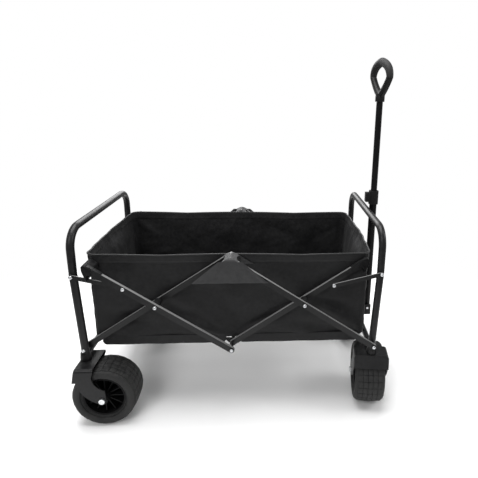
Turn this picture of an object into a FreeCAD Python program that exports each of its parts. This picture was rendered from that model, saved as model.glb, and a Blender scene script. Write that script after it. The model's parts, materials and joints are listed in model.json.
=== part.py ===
import FreeCAD, Part
import math
import os
import Sketcher
from FreeCAD import Placement, Rotation, Vector

# Folding camping cart, in millimetres.
# +X is the front, where the pull handle stands, +Y is the left side and +Z is up.
# The origin lies on the floor, midway between the four caster pivots.
#
# Two tube arches carry a caster under each foot. On each side a double-X scissor of
# flat bars joins them, so that the front arch comes straight back when the cart folds.

# Sizes that stand alone.
SIZES = {
    # arches
    "footX": 430.0,  # from the middle of the cart to a caster pivot
    "postY": 240.0,  # from the middle plane to a post's axis
    "postLean": 11.5,  # how far the posts lean out from the links' pivots to the struts' rivets
    "strutRise": 235.0,  # from the links' lower pivots to the struts' rivets
    "archRise": 79.0,  # from the basket's rim to the top bars' axes
    "archBend": 56.0,
    "tubeDia": 22.0,
    "tubeWall": 1.5,
    "footGap": 5.0,  # from a caster's plate to the foot of its post
    "crossBarRise": 11.0,
    "crossBarDia": 18.0,
    "pivotRise": 20.0,  # from the cross bars to the links' lower pivots
    # scissor links
    "scissorRise": 286.0,  # from the lower pivots to the upper middle pivots
    "linkWidth": 17.0,
    "linkThick": 9.0,
    "spacerRim": 6.0,  # how much wider the spacers are than the links
    "cornerInset": 38.0,  # from a caster pivot in to the corner link's upper end
    "pinDia": 8.0,
    "headDia": 11.0,
    "headThick": 2.5,
    "layerGap": 1.0,
    "runningGap": 0.05,
    "drillPast": 1.0,  # how far a hole's cutter runs past each face
    "capLength": 34.0,
    "capWall": 1.8,
    "centreBarDia": 12.0,
    # struts
    "strutWidth": 12.0,
    "strutThick": 3.5,
    "strutSeat": 0.486,  # share of the corner link's upper half, from its middle pivot
    # basket
    "basketInset": 18.0,  # from a caster pivot in to the basket's end
    "basketGap": 3.5,  # from the inner links in to the basket's side
    "basketLift": 7.5,  # from the lower pivots to the basket's floor
    "clothThick": 4.0,
    "clothGap": 0.3,
    # casters
    "wheelDia": 187.4,
    "tyreWidth": 92.0,
    "tyreBore": 124.0,
    "beadInset": 7.0,
    "beadRise": 9.0,
    "shoulderDrop": 10.0,
    "shoulderInset": 13.0,
    "shoulderRound": 6.0,
    "tyreGap": 5.6,  # from the tread up to the fork's plate
    "sideGap": 4.5,  # from the tyre out to the fork's arms
    "trail": 56.5,
    "plateThick": 3.0,
    "forkBend": 9.0,
    "forkNose": 16.0,  # from the pivot to the plate's leading edge
    "forkTail": 36.0,  # from the pivot to the plate's trailing edge
    "forkLip": 10.0,  # depth of the arms' upright edge under the plate's trailing edge
    "armX": 78.0,  # from the pivot to the middle of the arms' curve
    "armDrop": 24.0,  # from the plate's top down to the middle of the arms' curve
    "armOuter": 93.5,  # radius of the arms' leading edge
    "armInner": 47.0,  # radius of their trailing edge
    "armEnd": 34.0,  # height over the axle where the arms' trailing edge turns down
    "skirtDrop": 42.0,  # depth of the web between the arms, on the leading side
    "skirtGap": 4.5,  # from the tread to the web's lower edge
    "lobeDia": 25.0,
    "axleDia": 10.0,
    "nutDia": 17.0,
    "nutThick": 5.0,
    "kingpinDia": 12.0,
    "kingpinHead": 20.0,
    "socketDia": 27.0,
    "hubPlay": 2.5,  # from each end of the hub to the fork's arm
    "barrelDia": 30.0,
    "rimWall": 5.0,
    "rimInset": 9.0,  # from the tyre's side to the rim's edge
    "webThick": 7.0,
    "webFlare": 2.0,
    "ribThick": 2.4,
    "ribInset": 8.0,  # from the rim's edge to the ribs
    "ribSink": 0.5,  # how far the ribs run into the barrel and the rim
    # pull handle
    "poleGap": 2.0,  # from the front posts' tube to the pole
    "poleDrop": 6.0,  # from the lower pivots down to the pole's hinge
    "poleDia": 25.0,
    "poleWall": 1.2,
    "poleLength": 406.0,  # from the hinge to the pole's top
    "poleFit": 0.8,  # from the pole's bore in to the inner tube
    "collarWall": 4.0,
    "collarLength": 46.0,
    "collarSeat": 18.0,  # how far the collar reaches down over the pole
    "leverLength": 17.0,
    "leverWidth": 20.0,
    "leverReach": 12.0,
    "leverFoot": 8.0,
    "leverHead": 6.0,
    "innerStay": 166.0,  # how much of the inner tube stays in the pole when drawn out
    "innerDrawn": 326.0,  # how much of it stands out of the pole
    "gripHeight": 136.0,
    "gripWidth": 118.0,
    "gripNeck": 40.0,
    "gripBar": 23.0,
    "gripThick": 26.0,
    "gripShoulder": 34.0,
    "gripTaper": 3.0,
    "gripRound": 15.0,
    "windowFoot": 14.0,
    "windowRise": 44.0,
    "windowShoulder": 38.0,
    "bracketWall": 3.0,
}
# Sizes that follow from them.
DERIVED = {
    "postX": "footX + postLean",
    "cornerX": "footX - cornerInset",
    "basketX": "footX - basketInset",
    "poleX": "postX + tubeDia / 2 + poleGap + poleDia / 2",
    "basketY": "postY - tubeDia / 2 - layerGap - linkThick - basketGap",
    "plateTopZ": "wheelDia + tyreGap + plateThick",
    "postBottomZ": "plateTopZ + footGap",
    "crossBarZ": "postBottomZ + crossBarRise",
    "footZ": "crossBarZ + pivotRise",
    "strutZ": "footZ + strutRise",
    "topZ": "footZ + scissorRise",
    "archZ": "topZ + archRise",
    "basketTopZ": "topZ",
    "basketBottomZ": "footZ + basketLift",
    "forkWidth": "tyreWidth + 2 * sideGap + 2 * plateThick",
    "armZ": "plateTopZ - armDrop",
    "skirtRise": "plateTopZ - skirtDrop - wheelDia / 2",
    "skirtReach": "sqrt((wheelDia / 2 + skirtGap)^2 - skirtRise^2)",
    "skirtLean": "skirtReach - trail + plateThick - forkNose",
    "hubLength": "forkWidth - 2 * plateThick - 2 * hubPlay",
    "poleZ": "footZ - poleDrop",
    "poleTopZ": "poleZ + poleLength",
    "innerDia": "poleDia - 2 * poleWall - 2 * poleFit",
    "innerBottomZ": "poleTopZ - innerStay",
    "collarDia": "poleDia + 2 * collarWall",
    "gripBaseZ": "poleTopZ + innerDrawn",
    "gripTopZ": "gripBaseZ + gripHeight",
}
ALIASES = [*SIZES, *DERIVED]
RIB_COUNT = 12
TOUCH = 0.01  # two lengths closer than this are the same
Y_AXIS = Vector(0, 1, 0)
Z_AXIS = Vector(0, 0, 1)
SIDES = {"right": -1, "left": 1}
ENDS = {"rear": -1, "front": 1}
# Which way each caster trails from its pivot, in degrees about +Z from +X.
TRAIL_ANGLES = {
    ("rear", "right"): 0.0,
    ("rear", "left"): 0.0,
    ("front", "right"): 84.0,
    ("front", "left"): -84.0,
}

doc = FreeCAD.newDocument("camping_cart")
sheet = doc.addObject("Spreadsheet::Sheet", "Sizes")
for row, alias in enumerate(ALIASES, start=1):
    sheet.set(f"A{row}", alias)
    sheet.setAlias(f"B{row}", alias)
    sheet.set(f"B{row}", str(SIZES[alias]) if alias in SIZES else "=" + DERIVED[alias])
doc.recompute()


def size(alias):
    """The value of one driving dimension, read back from the sheet."""
    return float(sheet.get(alias))


def cell(formula):
    """An expression over the sheet: every word that is an alias points to its cell."""
    word = ""
    text = ""
    for mark in formula + " ":
        if mark.isalnum():
            word += mark
            continue
        text += f"Sizes.{word}" if word in ALIASES else word
        text += mark
        word = ""
    return text.strip()


# ---------------------------------------------------------------- plain solids


def cylinder(name, diameter, length, base, axis):
    """A round bar from base along axis; diameter and length are formulas."""
    bar = doc.addObject("Part::Cylinder", name)
    bar.setExpression("Radius", cell(f"({diameter}) / 2"))
    bar.setExpression("Height", cell(length))
    bar.Placement = Placement(base, Rotation(Z_AXIS, axis))
    return bar


def box(name, length, width, height, corner, rotation=None):
    """A block whose lowest corner is at corner; its three sizes are formulas."""
    block = doc.addObject("Part::Box", name)
    block.setExpression("Length", cell(length))
    block.setExpression("Width", cell(width))
    block.setExpression("Height", cell(height))
    block.Placement = Placement(corner, rotation or Rotation())
    return block


def fuse(name, shapes):
    whole = doc.addObject("Part::MultiFuse", name)
    whole.Shapes = shapes
    whole.Refine = True
    return whole


def cut(name, base, tools):
    """The base with every tool taken away."""
    rest = base
    for tool in tools:
        less = doc.addObject("Part::Cut", name)
        less.Base = rest
        less.Tool = tool
        rest = less
    return rest


def common(name, base, tool):
    both = doc.addObject("Part::Common", name)
    both.Base = base
    both.Tool = tool
    return both


def group(name, shapes):
    several = doc.addObject("Part::Compound", name)
    several.Links = shapes
    return several


def both_sides(name, shape):
    """The shape and its mirror image on the other side of the middle plane."""
    image = doc.addObject("Part::Mirroring", name + "_mirror")
    image.Source = shape
    image.Normal = Y_AXIS
    return group(name, [shape, image])


# ---------------------------------------------------------------- sketched solids


def origin_plane(body, role):
    return [f for f in body.Origin.OriginFeatures if f.Role == role][0]


def polygon(body, role, corners):
    """A closed outline on one of the body's own planes; each corner is a formula pair."""
    sketch = body.newObject("Sketcher::SketchObject", body.Name + "_outline")
    sketch.AttachmentSupport = (origin_plane(body, role), [""])
    sketch.MapMode = "FlatFace"
    numbers = [tuple(value_of(part) for part in corner) for corner in corners]
    points = [Vector(across, up, 0) for across, up in numbers]
    count = len(points)
    for index in range(count):
        sketch.addGeometry(Part.LineSegment(points[index], points[(index + 1) % count]))
    for index in range(count):
        sketch.addConstraint(Sketcher.Constraint("Coincident", index, 2, (index + 1) % count, 1))
    for index, (corner, number) in enumerate(zip(corners, numbers)):
        for kind, axis, formula, value in (
            ("DistanceX", -2, corner[0], number[0]),
            ("DistanceY", -1, corner[1], number[1]),
        ):
            if abs(value) < 1e-9:
                sketch.addConstraint(Sketcher.Constraint("PointOnObject", index, 1, axis))
                continue
            made = sketch.addConstraint(Sketcher.Constraint(kind, -1, 1, index, 1, value))
            sketch.setExpression(f"Constraints[{made}]", cell(formula))
    return sketch


def value_of(formula):
    """The number that a formula over the sheet stands for now."""
    return float(doc.Sizes.evalExpression(cell(str(formula)).replace("Sizes.", "")))


def pad(body, sketch, length):
    feature = body.newObject("PartDesign::Pad", body.Name + "_pad")
    feature.Profile = sketch
    feature.setExpression("Length", cell(length))
    feature.Midplane = True
    sketch.Visibility = False
    return feature


def pocket(body, sketch):
    """A cut right through, both ways from the sketch's plane."""
    feature = body.newObject("PartDesign::Pocket", body.Name + "_pocket")
    feature.Profile = sketch
    feature.Type = "ThroughAll"
    feature.Midplane = True
    return feature


def revolution(body, sketch):
    """The outline turned about the sketch's upright axis."""
    feature = body.newObject("PartDesign::Revolution", body.Name + "_turned")
    feature.Profile = sketch
    feature.ReferenceAxis = (sketch, ["V_Axis"])
    feature.Angle = 360.0
    return feature


def round_edges(body, feature, radius, wanted):
    """Round the feature's edges that the test picks."""
    doc.recompute()
    names = [
        f"Edge{index}" for index, edge in enumerate(feature.Shape.Edges, start=1) if wanted(edge)
    ]
    rounded = body.newObject("PartDesign::Fillet", body.Name + "_rounded")
    rounded.Base = (feature, names)
    rounded.setExpression("Radius", cell(radius))
    return rounded


def new_body(name):
    return doc.addObject("PartDesign::Body", name)


# ---------------------------------------------------------------- bent tubes


def rounded_path(points, radii):
    """A wire of straight runs joined by tangent arcs at the inner points."""
    edges = []
    start = points[0]
    for before, corner, after, radius in zip(points, points[1:], points[2:], radii):
        inward = (before - corner).normalize()
        outward = (after - corner).normalize()
        half = inward.getAngle(outward) / 2
        reach = radius / math.tan(half)
        entry = corner + inward * reach
        leave = corner + outward * reach
        centre = corner + (inward + outward).normalize() * (radius / math.sin(half))
        middle = centre + (corner - centre).normalize() * radius
        edges.append(Part.LineSegment(start, entry).toShape())
        edges.append(Part.Arc(entry, middle, leave).toShape())
        start = leave
    edges.append(Part.LineSegment(start, points[-1]).toShape())
    return Part.Wire(edges)


def bent_rod(path, diameter):
    start = path.Edges[0]
    origin = start.valueAt(start.FirstParameter)
    along = start.tangentAt(start.FirstParameter)
    ring = Part.Wire(Part.makeCircle(diameter / 2, origin, along))
    return path.makePipeShell([ring], True, False, 2)


# The posts lean out a little between the links' lower pivots and the struts' rivets.
LEAN = "(postX - footX) / (strutZ - footZ)"
CROSS_BAR_X = f"footX - ({LEAN}) * (footZ - crossBarZ)"


def arch_route(end):
    """The arch's axis: up one post, across the top bar and down the other post."""
    way = ENDS[end]
    low = size("postBottomZ") - size("tubeDia")
    bottom_x = value_of(f"footX - ({LEAN}) * (footZ - postBottomZ + tubeDia)")
    post = size("postY")
    points = [
        Vector(way * bottom_x, -post, low),
        Vector(way * size("postX"), -post, size("strutZ")),
        Vector(way * size("postX"), -post, size("archZ")),
        Vector(way * size("postX"), post, size("archZ")),
        Vector(way * size("postX"), post, size("strutZ")),
        Vector(way * bottom_x, post, low),
    ]
    bend = size("archBend")
    lean = 6 * size("tubeDia")
    return rounded_path(points, [lean, bend, bend, lean])


def side_pin(name, x, z, near, far, diameter="pinDia"):
    """A pin across the left side, from one distance from the middle plane to another."""
    return cylinder(name, diameter, f"({far}) - ({near})", Vector(x, value_of(near), z), Y_AXIS)


# Distances from the middle plane of the four layers on each side of the cart.
POST_IN = "postY - tubeDia / 2"
POST_OUT = "postY + tubeDia / 2"
INNER_OUT = f"{POST_IN} - layerGap"
INNER_IN = f"{INNER_OUT} - linkThick"
STRUT_IN = f"{POST_OUT} + layerGap"
STRUT_OUT = f"{STRUT_IN} + strutThick"
OUTER_IN = f"{STRUT_OUT} + layerGap"
OUTER_OUT = f"{OUTER_IN} + linkThick"
HOLE = "pinDia + 2 * runningGap"

# Pivots of the scissor in the XZ plane. Both X's are symmetrical, so that the arches
# stay parallel through the fold.
FOOT = {end: Vector(way * size("footX"), 0, size("footZ")) for end, way in ENDS.items()}
TOP = Vector(0, 0, size("topZ"))
BOTTOM = Vector(0, 0, size("footZ"))
CENTRE = {end: (FOOT[end] + TOP) * 0.5 for end in ENDS}
SLOPE = (size("topZ") - size("footZ")) / size("footX")
CORNER = {
    end: Vector(way * size("cornerX"), 0, size("footZ") + SLOPE * size("cornerX"))
    for end, way in ENDS.items()
}
STRUT_PIN = {end: Vector(way * size("postX"), 0, size("strutZ")) for end, way in ENDS.items()}
STRUT_EYE = {
    end: CENTRE[end] + (CORNER[end] - CENTRE[end]) * size("strutSeat") for end in ENDS
}


def flat_bar(name, start, finish, width, thick, near, holes):
    """A flat bar with round ends on the left side, between two pivots.

    near is the formula for its inner face's distance from the middle plane, and holes
    are points on its line, each with a formula for the hole's diameter.
    """
    run = finish - start
    length = run.Length
    turn = Rotation(Vector(1, 0, 0), run)
    lift = Vector(0, value_of(near), 0)
    flat = Placement(lift, Rotation()).multiply(Placement(start, turn))
    blank = box(name + "_bar", "1", width, thick, Vector(0, 0, 0))
    blank.setExpression("Length", None)
    blank.Length = length
    upright = Rotation(Vector(1, 0, 0), -90)
    blank.Placement = flat.multiply(
        Placement(Vector(0, 0, value_of(width) / 2), upright)
    )
    pieces = [blank]
    for end, point in (("start", start), ("finish", finish)):
        pieces.append(cylinder(f"{name}_{end}", width, thick, point + lift, Y_AXIS))
    whole = fuse(name + "_blank", pieces)
    drills = []
    for index, (point, diameter) in enumerate(holes):
        base = point + lift - Y_AXIS * size("drillPast")
        depth = f"({thick}) + 2 * drillPast"
        drills.append(cylinder(f"{name}_hole{index}", diameter, depth, base, Y_AXIS))
    return cut(name + "_drilled", whole, drills)


# ---------------------------------------------------------------- the kept sub-parts

NODES = []


def keep(label, shape):
    """Name a finished sub-part; its label is its file's name."""
    shape.Label = label
    NODES.append(shape)
    return shape


def build_arch(end):
    """The bent tube of one arch, sawn level at its feet and drilled for its pins."""
    route = arch_route(end)
    outer = bent_rod(route, size("tubeDia"))
    bore = bent_rod(route, size("tubeDia") - 2 * size("tubeWall"))
    reach = 2 * (size("postX") + size("postY"))
    below = Vector(-reach / 2, -reach / 2, size("postBottomZ") - 3 * size("tubeDia"))
    drills = [Part.makeBox(reach, reach, 3 * size("tubeDia"), below)]
    for point in (FOOT[end], STRUT_PIN[end]):
        for way in SIDES.values():
            base = Vector(point.x, way * size("postY") - size("tubeDia"), point.z)
            drills.append(Part.makeCylinder(size("pinDia") / 2, 2 * size("tubeDia"), base, Y_AXIS))
    arch = doc.addObject("Part::Feature", f"{end}_arch_tube")
    arch.Shape = outer.cut([bore] + drills)
    keep(f"{end}_arch", arch)


def build_cross_bar(end):
    """The tube that ties the feet, coped a little clear of the posts' far walls."""
    x = ENDS[end] * value_of(CROSS_BAR_X)
    base = Vector(x, -size("postY"), size("crossBarZ"))
    outer = cylinder(f"{end}_cross_outer", "crossBarDia", "2 * postY", base, Y_AXIS)
    bore = cylinder(
        f"{end}_cross_bore", "crossBarDia - 2 * tubeWall", "2 * postY", base, Y_AXIS
    )
    tube = cut(f"{end}_cross_tube", outer, [bore])
    posts = doc.addObject("Part::Feature", f"{end}_cross_cope")
    posts.Shape = bent_rod(arch_route(end), size("tubeDia"))
    keep(f"{end}_cross_bar", cut(f"{end}_cross_bar_coped", tube, [posts]))


def build_sockets(end):
    """The turned foot under each post, with the kingpin that its caster swivels on."""
    x = ENDS[end] * size("footX")
    plate_top = size("plateTopZ")
    flange = cylinder(
        f"{end}_socket_flange",
        "socketDia",
        "postBottomZ - plateTopZ - layerGap",
        Vector(x, size("postY"), plate_top + size("layerGap")),
        Z_AXIS,
    )
    head_z = plate_top - size("plateThick") - size("layerGap") - size("headThick")
    pin = cylinder(
        f"{end}_kingpin",
        "kingpinDia",
        "postBottomZ - plateTopZ + plateThick + layerGap + headThick",
        Vector(x, size("postY"), head_z),
        Z_AXIS,
    )
    head = cylinder(
        f"{end}_kingpin_head", "kingpinHead", "headThick", Vector(x, size("postY"), head_z), Z_AXIS
    )
    foot = fuse(f"{end}_foot", [flange, pin, head])
    keep(f"{end}_caster_kingpins", both_sides(f"{end}_feet", foot))


def build_frame_pins(end):
    """The pins fixed in the posts: one for the foot link and one for the strut."""
    foot = FOOT[end]
    strut = STRUT_PIN[end]
    inner_head = f"{INNER_IN} - headThick - layerGap / 2"
    if end == "rear":
        near, far = inner_head, f"{POST_OUT} + headThick"
        heads = ((near, inner_head), (far, POST_OUT))
    else:
        near, far = f"{POST_IN} - headThick", f"{OUTER_OUT} + layerGap / 2 + headThick"
        heads = ((near, near), (far, f"{OUTER_OUT} + layerGap / 2"))
    foot_pieces = [side_pin(f"{end}_foot_pin", foot.x, foot.z, near, far)]
    for index, (_, inner) in enumerate(heads):
        foot_pieces.append(
            side_pin(f"{end}_foot_head{index}", foot.x, foot.z, inner, f"{inner} + headThick", "headDia")
        )
    strut_far = f"{STRUT_OUT} + layerGap / 2"
    strut_near = f"{POST_IN} - headThick"
    strut_pieces = [
        side_pin(f"{end}_strut_pin", strut.x, strut.z, strut_near, f"{strut_far} + headThick"),
        side_pin(
            f"{end}_strut_head", strut.x, strut.z, strut_far, f"{strut_far} + headThick", "headDia"
        ),
    ]
    foot_pin = both_sides(f"{end}_foot_pins", fuse(f"{end}_foot_pin_whole", foot_pieces))
    strut_pin = both_sides(f"{end}_strut_pins", fuse(f"{end}_strut_pin_whole", strut_pieces))
    keep(f"{end}_frame_pins", group(f"{end}_pins", [foot_pin, strut_pin]))


def build_foot_links(end):
    """The bars from the posts' feet to the upper middle pivots."""
    near = INNER_IN if end == "rear" else OUTER_IN
    top_hole = "pinDia" if end == "rear" else HOLE
    bar = flat_bar(
        f"{end}_foot_link",
        FOOT[end],
        TOP,
        "linkWidth",
        "linkThick",
        near,
        [(FOOT[end], HOLE), (CENTRE[end], "pinDia"), (TOP, top_hole)],
    )
    keep(f"{end}_foot_links", both_sides(f"{end}_foot_link_pair", bar))


def build_corner_links(end):
    """The bars from the basket's upper corners to the lower middle pivots."""
    near = OUTER_IN if end == "rear" else INNER_IN
    bottom_hole = "pinDia" if end == "rear" else HOLE
    bar = flat_bar(
        f"{end}_corner_link",
        CORNER[end],
        BOTTOM,
        "linkWidth",
        "linkThick",
        near,
        [(CENTRE[end], HOLE), (BOTTOM, bottom_hole)],
    )
    keep(f"{end}_corner_links", both_sides(f"{end}_corner_link_pair", bar))


def build_middle_pins(end):
    """The pins through the middle of each X, with the plastic spacers between its bars."""
    point = CENTRE[end]
    near = f"{INNER_IN} - headThick - layerGap / 2"
    far = f"{OUTER_OUT} + layerGap / 2"
    pieces = [
        side_pin(f"{end}_middle_pin", point.x, point.z, near, f"{far} + headThick"),
        side_pin(f"{end}_middle_tail", point.x, point.z, near, f"{near} + headThick", "headDia"),
        side_pin(f"{end}_middle_head", point.x, point.z, far, f"{far} + headThick", "headDia"),
    ]
    spacer_in = f"{INNER_OUT} + layerGap / 2"
    spacer_out = f"{OUTER_IN} - layerGap / 2"
    ring = cut(
        f"{end}_spacer_ring",
        side_pin(f"{end}_spacer", point.x, point.z, spacer_in, spacer_out, "linkWidth + spacerRim"),
        [side_pin(f"{end}_spacer_bore", point.x, point.z, spacer_in, spacer_out)],
    )
    pin = both_sides(f"{end}_middle_pin_pair", fuse(f"{end}_middle_pin_whole", pieces))
    spacer = both_sides(f"{end}_spacer_pair", ring)
    keep(f"{end}_middle_pins", pin)
    keep(f"{end}_middle_spacers", spacer)


def build_top_pins():
    """The pins that join the foot links above the basket's rim."""
    near = f"{INNER_IN} - headThick"
    far = f"{OUTER_OUT} + layerGap / 2"
    pieces = [
        side_pin("top_pin", TOP.x, TOP.z, near, f"{far} + headThick"),
        side_pin("top_tail", TOP.x, TOP.z, near, f"{near} + headThick", "headDia"),
        side_pin("top_head", TOP.x, TOP.z, far, f"{far} + headThick", "headDia"),
    ]
    keep("top_pins", both_sides("top_pin_pair", fuse("top_pin_whole", pieces)))


def build_bottom_bar():
    """The bar under the basket's floor, its ends turned down to pins for the corner links."""
    half = value_of(f"{INNER_IN} - layerGap / 2")
    base = Vector(BOTTOM.x, -half, BOTTOM.z)
    middle = cylinder("bottom_bar_middle", "centreBarDia", "1", base, Y_AXIS)
    middle.setExpression("Height", cell(f"2 * ({INNER_IN} - layerGap / 2)"))
    pieces = [middle]
    far = f"{OUTER_OUT} + headThick"
    pin = side_pin("bottom_pin", BOTTOM.x, BOTTOM.z, f"{INNER_IN} - layerGap / 2", far)
    head = side_pin("bottom_head", BOTTOM.x, BOTTOM.z, OUTER_OUT, far, "headDia")
    for piece in (pin, head):
        image = doc.addObject("Part::Mirroring", piece.Name + "_mirror")
        image.Source = piece
        image.Normal = Y_AXIS
        pieces += [piece, image]
    keep("bottom_centre_bar", fuse("bottom_bar", pieces))


def build_corner_caps(end):
    """The plastic caps over the corner links' upper ends."""
    along = (CENTRE[end] - CORNER[end]).normalize()
    near, wall = (OUTER_IN, "capWall") if end == "rear" else (INNER_IN, "layerGap / 2")
    shell = flat_bar(
        f"{end}_cap_shell",
        CORNER[end] - along * size("capWall"),
        CORNER[end] + along * size("capLength"),
        "linkWidth + 2 * capWall",
        f"linkThick + 2 * ({wall})",
        f"{near} - {wall}",
        [],
    )
    core = flat_bar(
        f"{end}_cap_core",
        CORNER[end],
        CORNER[end] + along * (2 * size("capLength")),
        "linkWidth",
        "linkThick",
        near,
        [],
    )
    keep(f"{end}_corner_caps", both_sides(f"{end}_cap_pair", cut(f"{end}_cap", shell, [core])))


def build_struts(end):
    """The short struts from the posts to the corner links."""
    bar = flat_bar(
        f"{end}_strut",
        STRUT_PIN[end],
        STRUT_EYE[end],
        "strutWidth",
        "strutThick",
        STRUT_IN,
        [(STRUT_PIN[end], HOLE)],
    )
    keep(f"{end}_struts", both_sides(f"{end}_strut_pair", bar))


def build_basket():
    """The cloth basket's five panels, as plain sheets with an open top."""
    long_half = size("basketX")
    wide_half = size("basketY")
    bottom = size("basketBottomZ")
    cloth = size("clothThick")
    gap = size("clothGap")
    rise = "basketTopZ - basketBottomZ"
    keep(
        "basket_floor",
        box(
            "floor_sheet",
            "2 * (basketX - clothThick - clothGap)",
            "2 * (basketY - clothThick - clothGap)",
            "clothThick",
            Vector(-(long_half - cloth - gap), -(wide_half - cloth - gap), bottom),
        ),
    )
    for side, way in SIDES.items():
        y = wide_half - cloth if way > 0 else -wide_half
        corner = Vector(-long_half, y, bottom)
        keep(f"basket_{side}_side", box(f"{side}_sheet", "2 * basketX", "clothThick", rise, corner))
    for end, way in ENDS.items():
        x = long_half - cloth if way > 0 else -long_half
        corner = Vector(x, -(wide_half - cloth - gap), bottom)
        width = "2 * (basketY - clothThick - clothGap)"
        keep(f"basket_{end}_end", box(f"{end}_sheet", "clothThick", width, rise, corner))


def build_fork(name, place):
    """A pressed steel fork: an inverted U cut to a curved side outline.

    In its own frame the wheel trails towards +X and the swivel axis is X = Y = 0.
    """
    channel = new_body(name + "_channel")
    half = "forkWidth / 2"
    low = "wheelDia / 2 - lobeDia"
    outline = polygon(
        channel,
        "YZ_Plane",
        [
            (f"-({half})", low),
            (half, low),
            (half, "plateTopZ"),
            (f"-({half})", "plateTopZ"),
        ],
    )
    block = pad(channel, outline, "6 * trail")
    top = size("plateTopZ")

    def upper_edge(edge):
        first, last = [vertex.Point for vertex in edge.Vertexes]
        level = abs(first.z - top) < TOUCH and abs(last.z - top) < TOUCH
        return level and abs(first.y - last.y) < TOUCH

    round_edges(channel, block, "forkBend", upper_edge)
    inside = new_body(name + "_inside")
    inner = "forkWidth / 2 - plateThick"
    hollow = polygon(
        inside,
        "YZ_Plane",
        [
            (f"-({inner})", "wheelDia / 2 - 2 * lobeDia"),
            (inner, "wheelDia / 2 - 2 * lobeDia"),
            (inner, "plateTopZ - plateThick"),
            (f"-({inner})", "plateTopZ - plateThick"),
        ],
    )
    core = pad(inside, hollow, "7 * trail")
    ceiling = size("plateTopZ") - size("plateThick")

    def ceiling_edge(edge):
        first, last = [vertex.Point for vertex in edge.Vertexes]
        level = abs(first.z - ceiling) < TOUCH and abs(last.z - ceiling) < TOUCH
        return level and abs(first.y - last.y) < TOUCH

    round_edges(inside, core, "forkBend - plateThick", ceiling_edge)
    side = new_body(name + "_side")
    shoulder = polygon(
        side,
        "XZ_Plane",
        [
            ("-forkNose", "plateTopZ"),
            ("forkTail", "plateTopZ"),
            ("forkTail", "plateTopZ - forkLip"),
            ("armX - armInner", "armZ"),
            ("armX - armOuter + plateThick", "plateTopZ - skirtDrop"),
            ("-(forkNose + skirtLean)", "plateTopZ - skirtDrop"),
        ],
    )
    pad(side, shoulder, "2 * forkWidth")
    window = new_body(name + "_window")
    reach = polygon(
        window,
        "XZ_Plane",
        [
            ("-(forkNose + skirtLean)", "armZ + lobeDia / 2"),
            ("armX - armInner", "armZ + lobeDia / 2"),
            ("trail + lobeDia / 2 - plateThick", "wheelDia / 2 + armEnd"),
            ("trail + lobeDia / 2", "wheelDia / 2"),
            ("trail", "wheelDia / 2 - lobeDia / 2"),
            ("-(forkNose + skirtLean)", "wheelDia / 2 - lobeDia / 2"),
        ],
    )
    pad(window, reach, "2 * forkWidth")
    axle_end = Vector(size("trail"), -size("forkWidth"), size("wheelDia") / 2)
    bow_end = Vector(size("armX"), -size("forkWidth"), size("armZ"))
    bow = cylinder(name + "_bow", "2 * armOuter", "2 * forkWidth", bow_end, Y_AXIS)
    hollow_bow = cylinder(name + "_hollow_bow", "2 * armInner", "2 * forkWidth", bow_end, Y_AXIS)
    arms = common(name + "_arms", cut(name + "_crescent", bow, [hollow_bow]), window)
    lobe = cylinder(name + "_lobe", "lobeDia", "2 * forkWidth", axle_end, Y_AXIS)
    blank = common(name + "_pressed", channel, fuse(name + "_outline", [side, arms, lobe]))
    pivot_hole = cylinder(
        name + "_pivot_hole",
        "kingpinDia + 2 * runningGap",
        "4 * plateThick",
        Vector(0, 0, size("plateTopZ") - 2 * size("plateThick")),
        Z_AXIS,
    )
    axle_hole = cylinder(
        name + "_axle_hole",
        "axleDia",
        "2 * forkWidth",
        axle_end,
        Y_AXIS,
    )
    skirt = new_body(name + "_skirt")
    web = polygon(
        skirt,
        "XZ_Plane",
        [
            ("-forkNose", "plateTopZ - plateThick"),
            ("plateThick - forkNose", "plateTopZ - plateThick"),
            ("plateThick - forkNose - skirtLean", "plateTopZ - skirtDrop"),
            ("-(forkNose + skirtLean)", "plateTopZ - skirtDrop"),
        ],
    )
    pad(skirt, web, "forkWidth - 2 * plateThick + layerGap")
    bare = cut(name + "_bare", blank, [inside, pivot_hole, axle_hole])
    fork = fuse(name + "_fork", [bare, skirt])
    fork.Placement = place
    return fork


def build_tyre(name, place):
    """A wide tyre with rounded shoulders, turned about its axle along Y."""
    body = new_body(name)
    half = "tyreWidth / 2"
    outline = polygon(
        body,
        "XY_Plane",
        [
            ("tyreBore / 2", f"-({half} - beadInset)"),
            ("tyreBore / 2 + beadRise", f"-({half})"),
            ("wheelDia / 2 - shoulderDrop", f"-({half})"),
            ("wheelDia / 2", f"-({half} - shoulderInset)"),
            ("wheelDia / 2", f"{half} - shoulderInset"),
            ("wheelDia / 2 - shoulderDrop", half),
            ("tyreBore / 2 + beadRise", half),
            ("tyreBore / 2", f"{half} - beadInset"),
        ],
    )
    turned = revolution(body, outline)
    shoulder = size("wheelDia") / 2 - size("shoulderDrop")
    tread = size("wheelDia") / 2

    def shoulder_edge(edge):
        round_one = hasattr(edge.Curve, "Radius")
        return round_one and min(
            abs(edge.Curve.Radius - shoulder), abs(edge.Curve.Radius - tread)
        ) < TOUCH

    round_edges(body, turned, "shoulderRound", shoulder_edge)
    body.Placement = place
    return body


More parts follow.
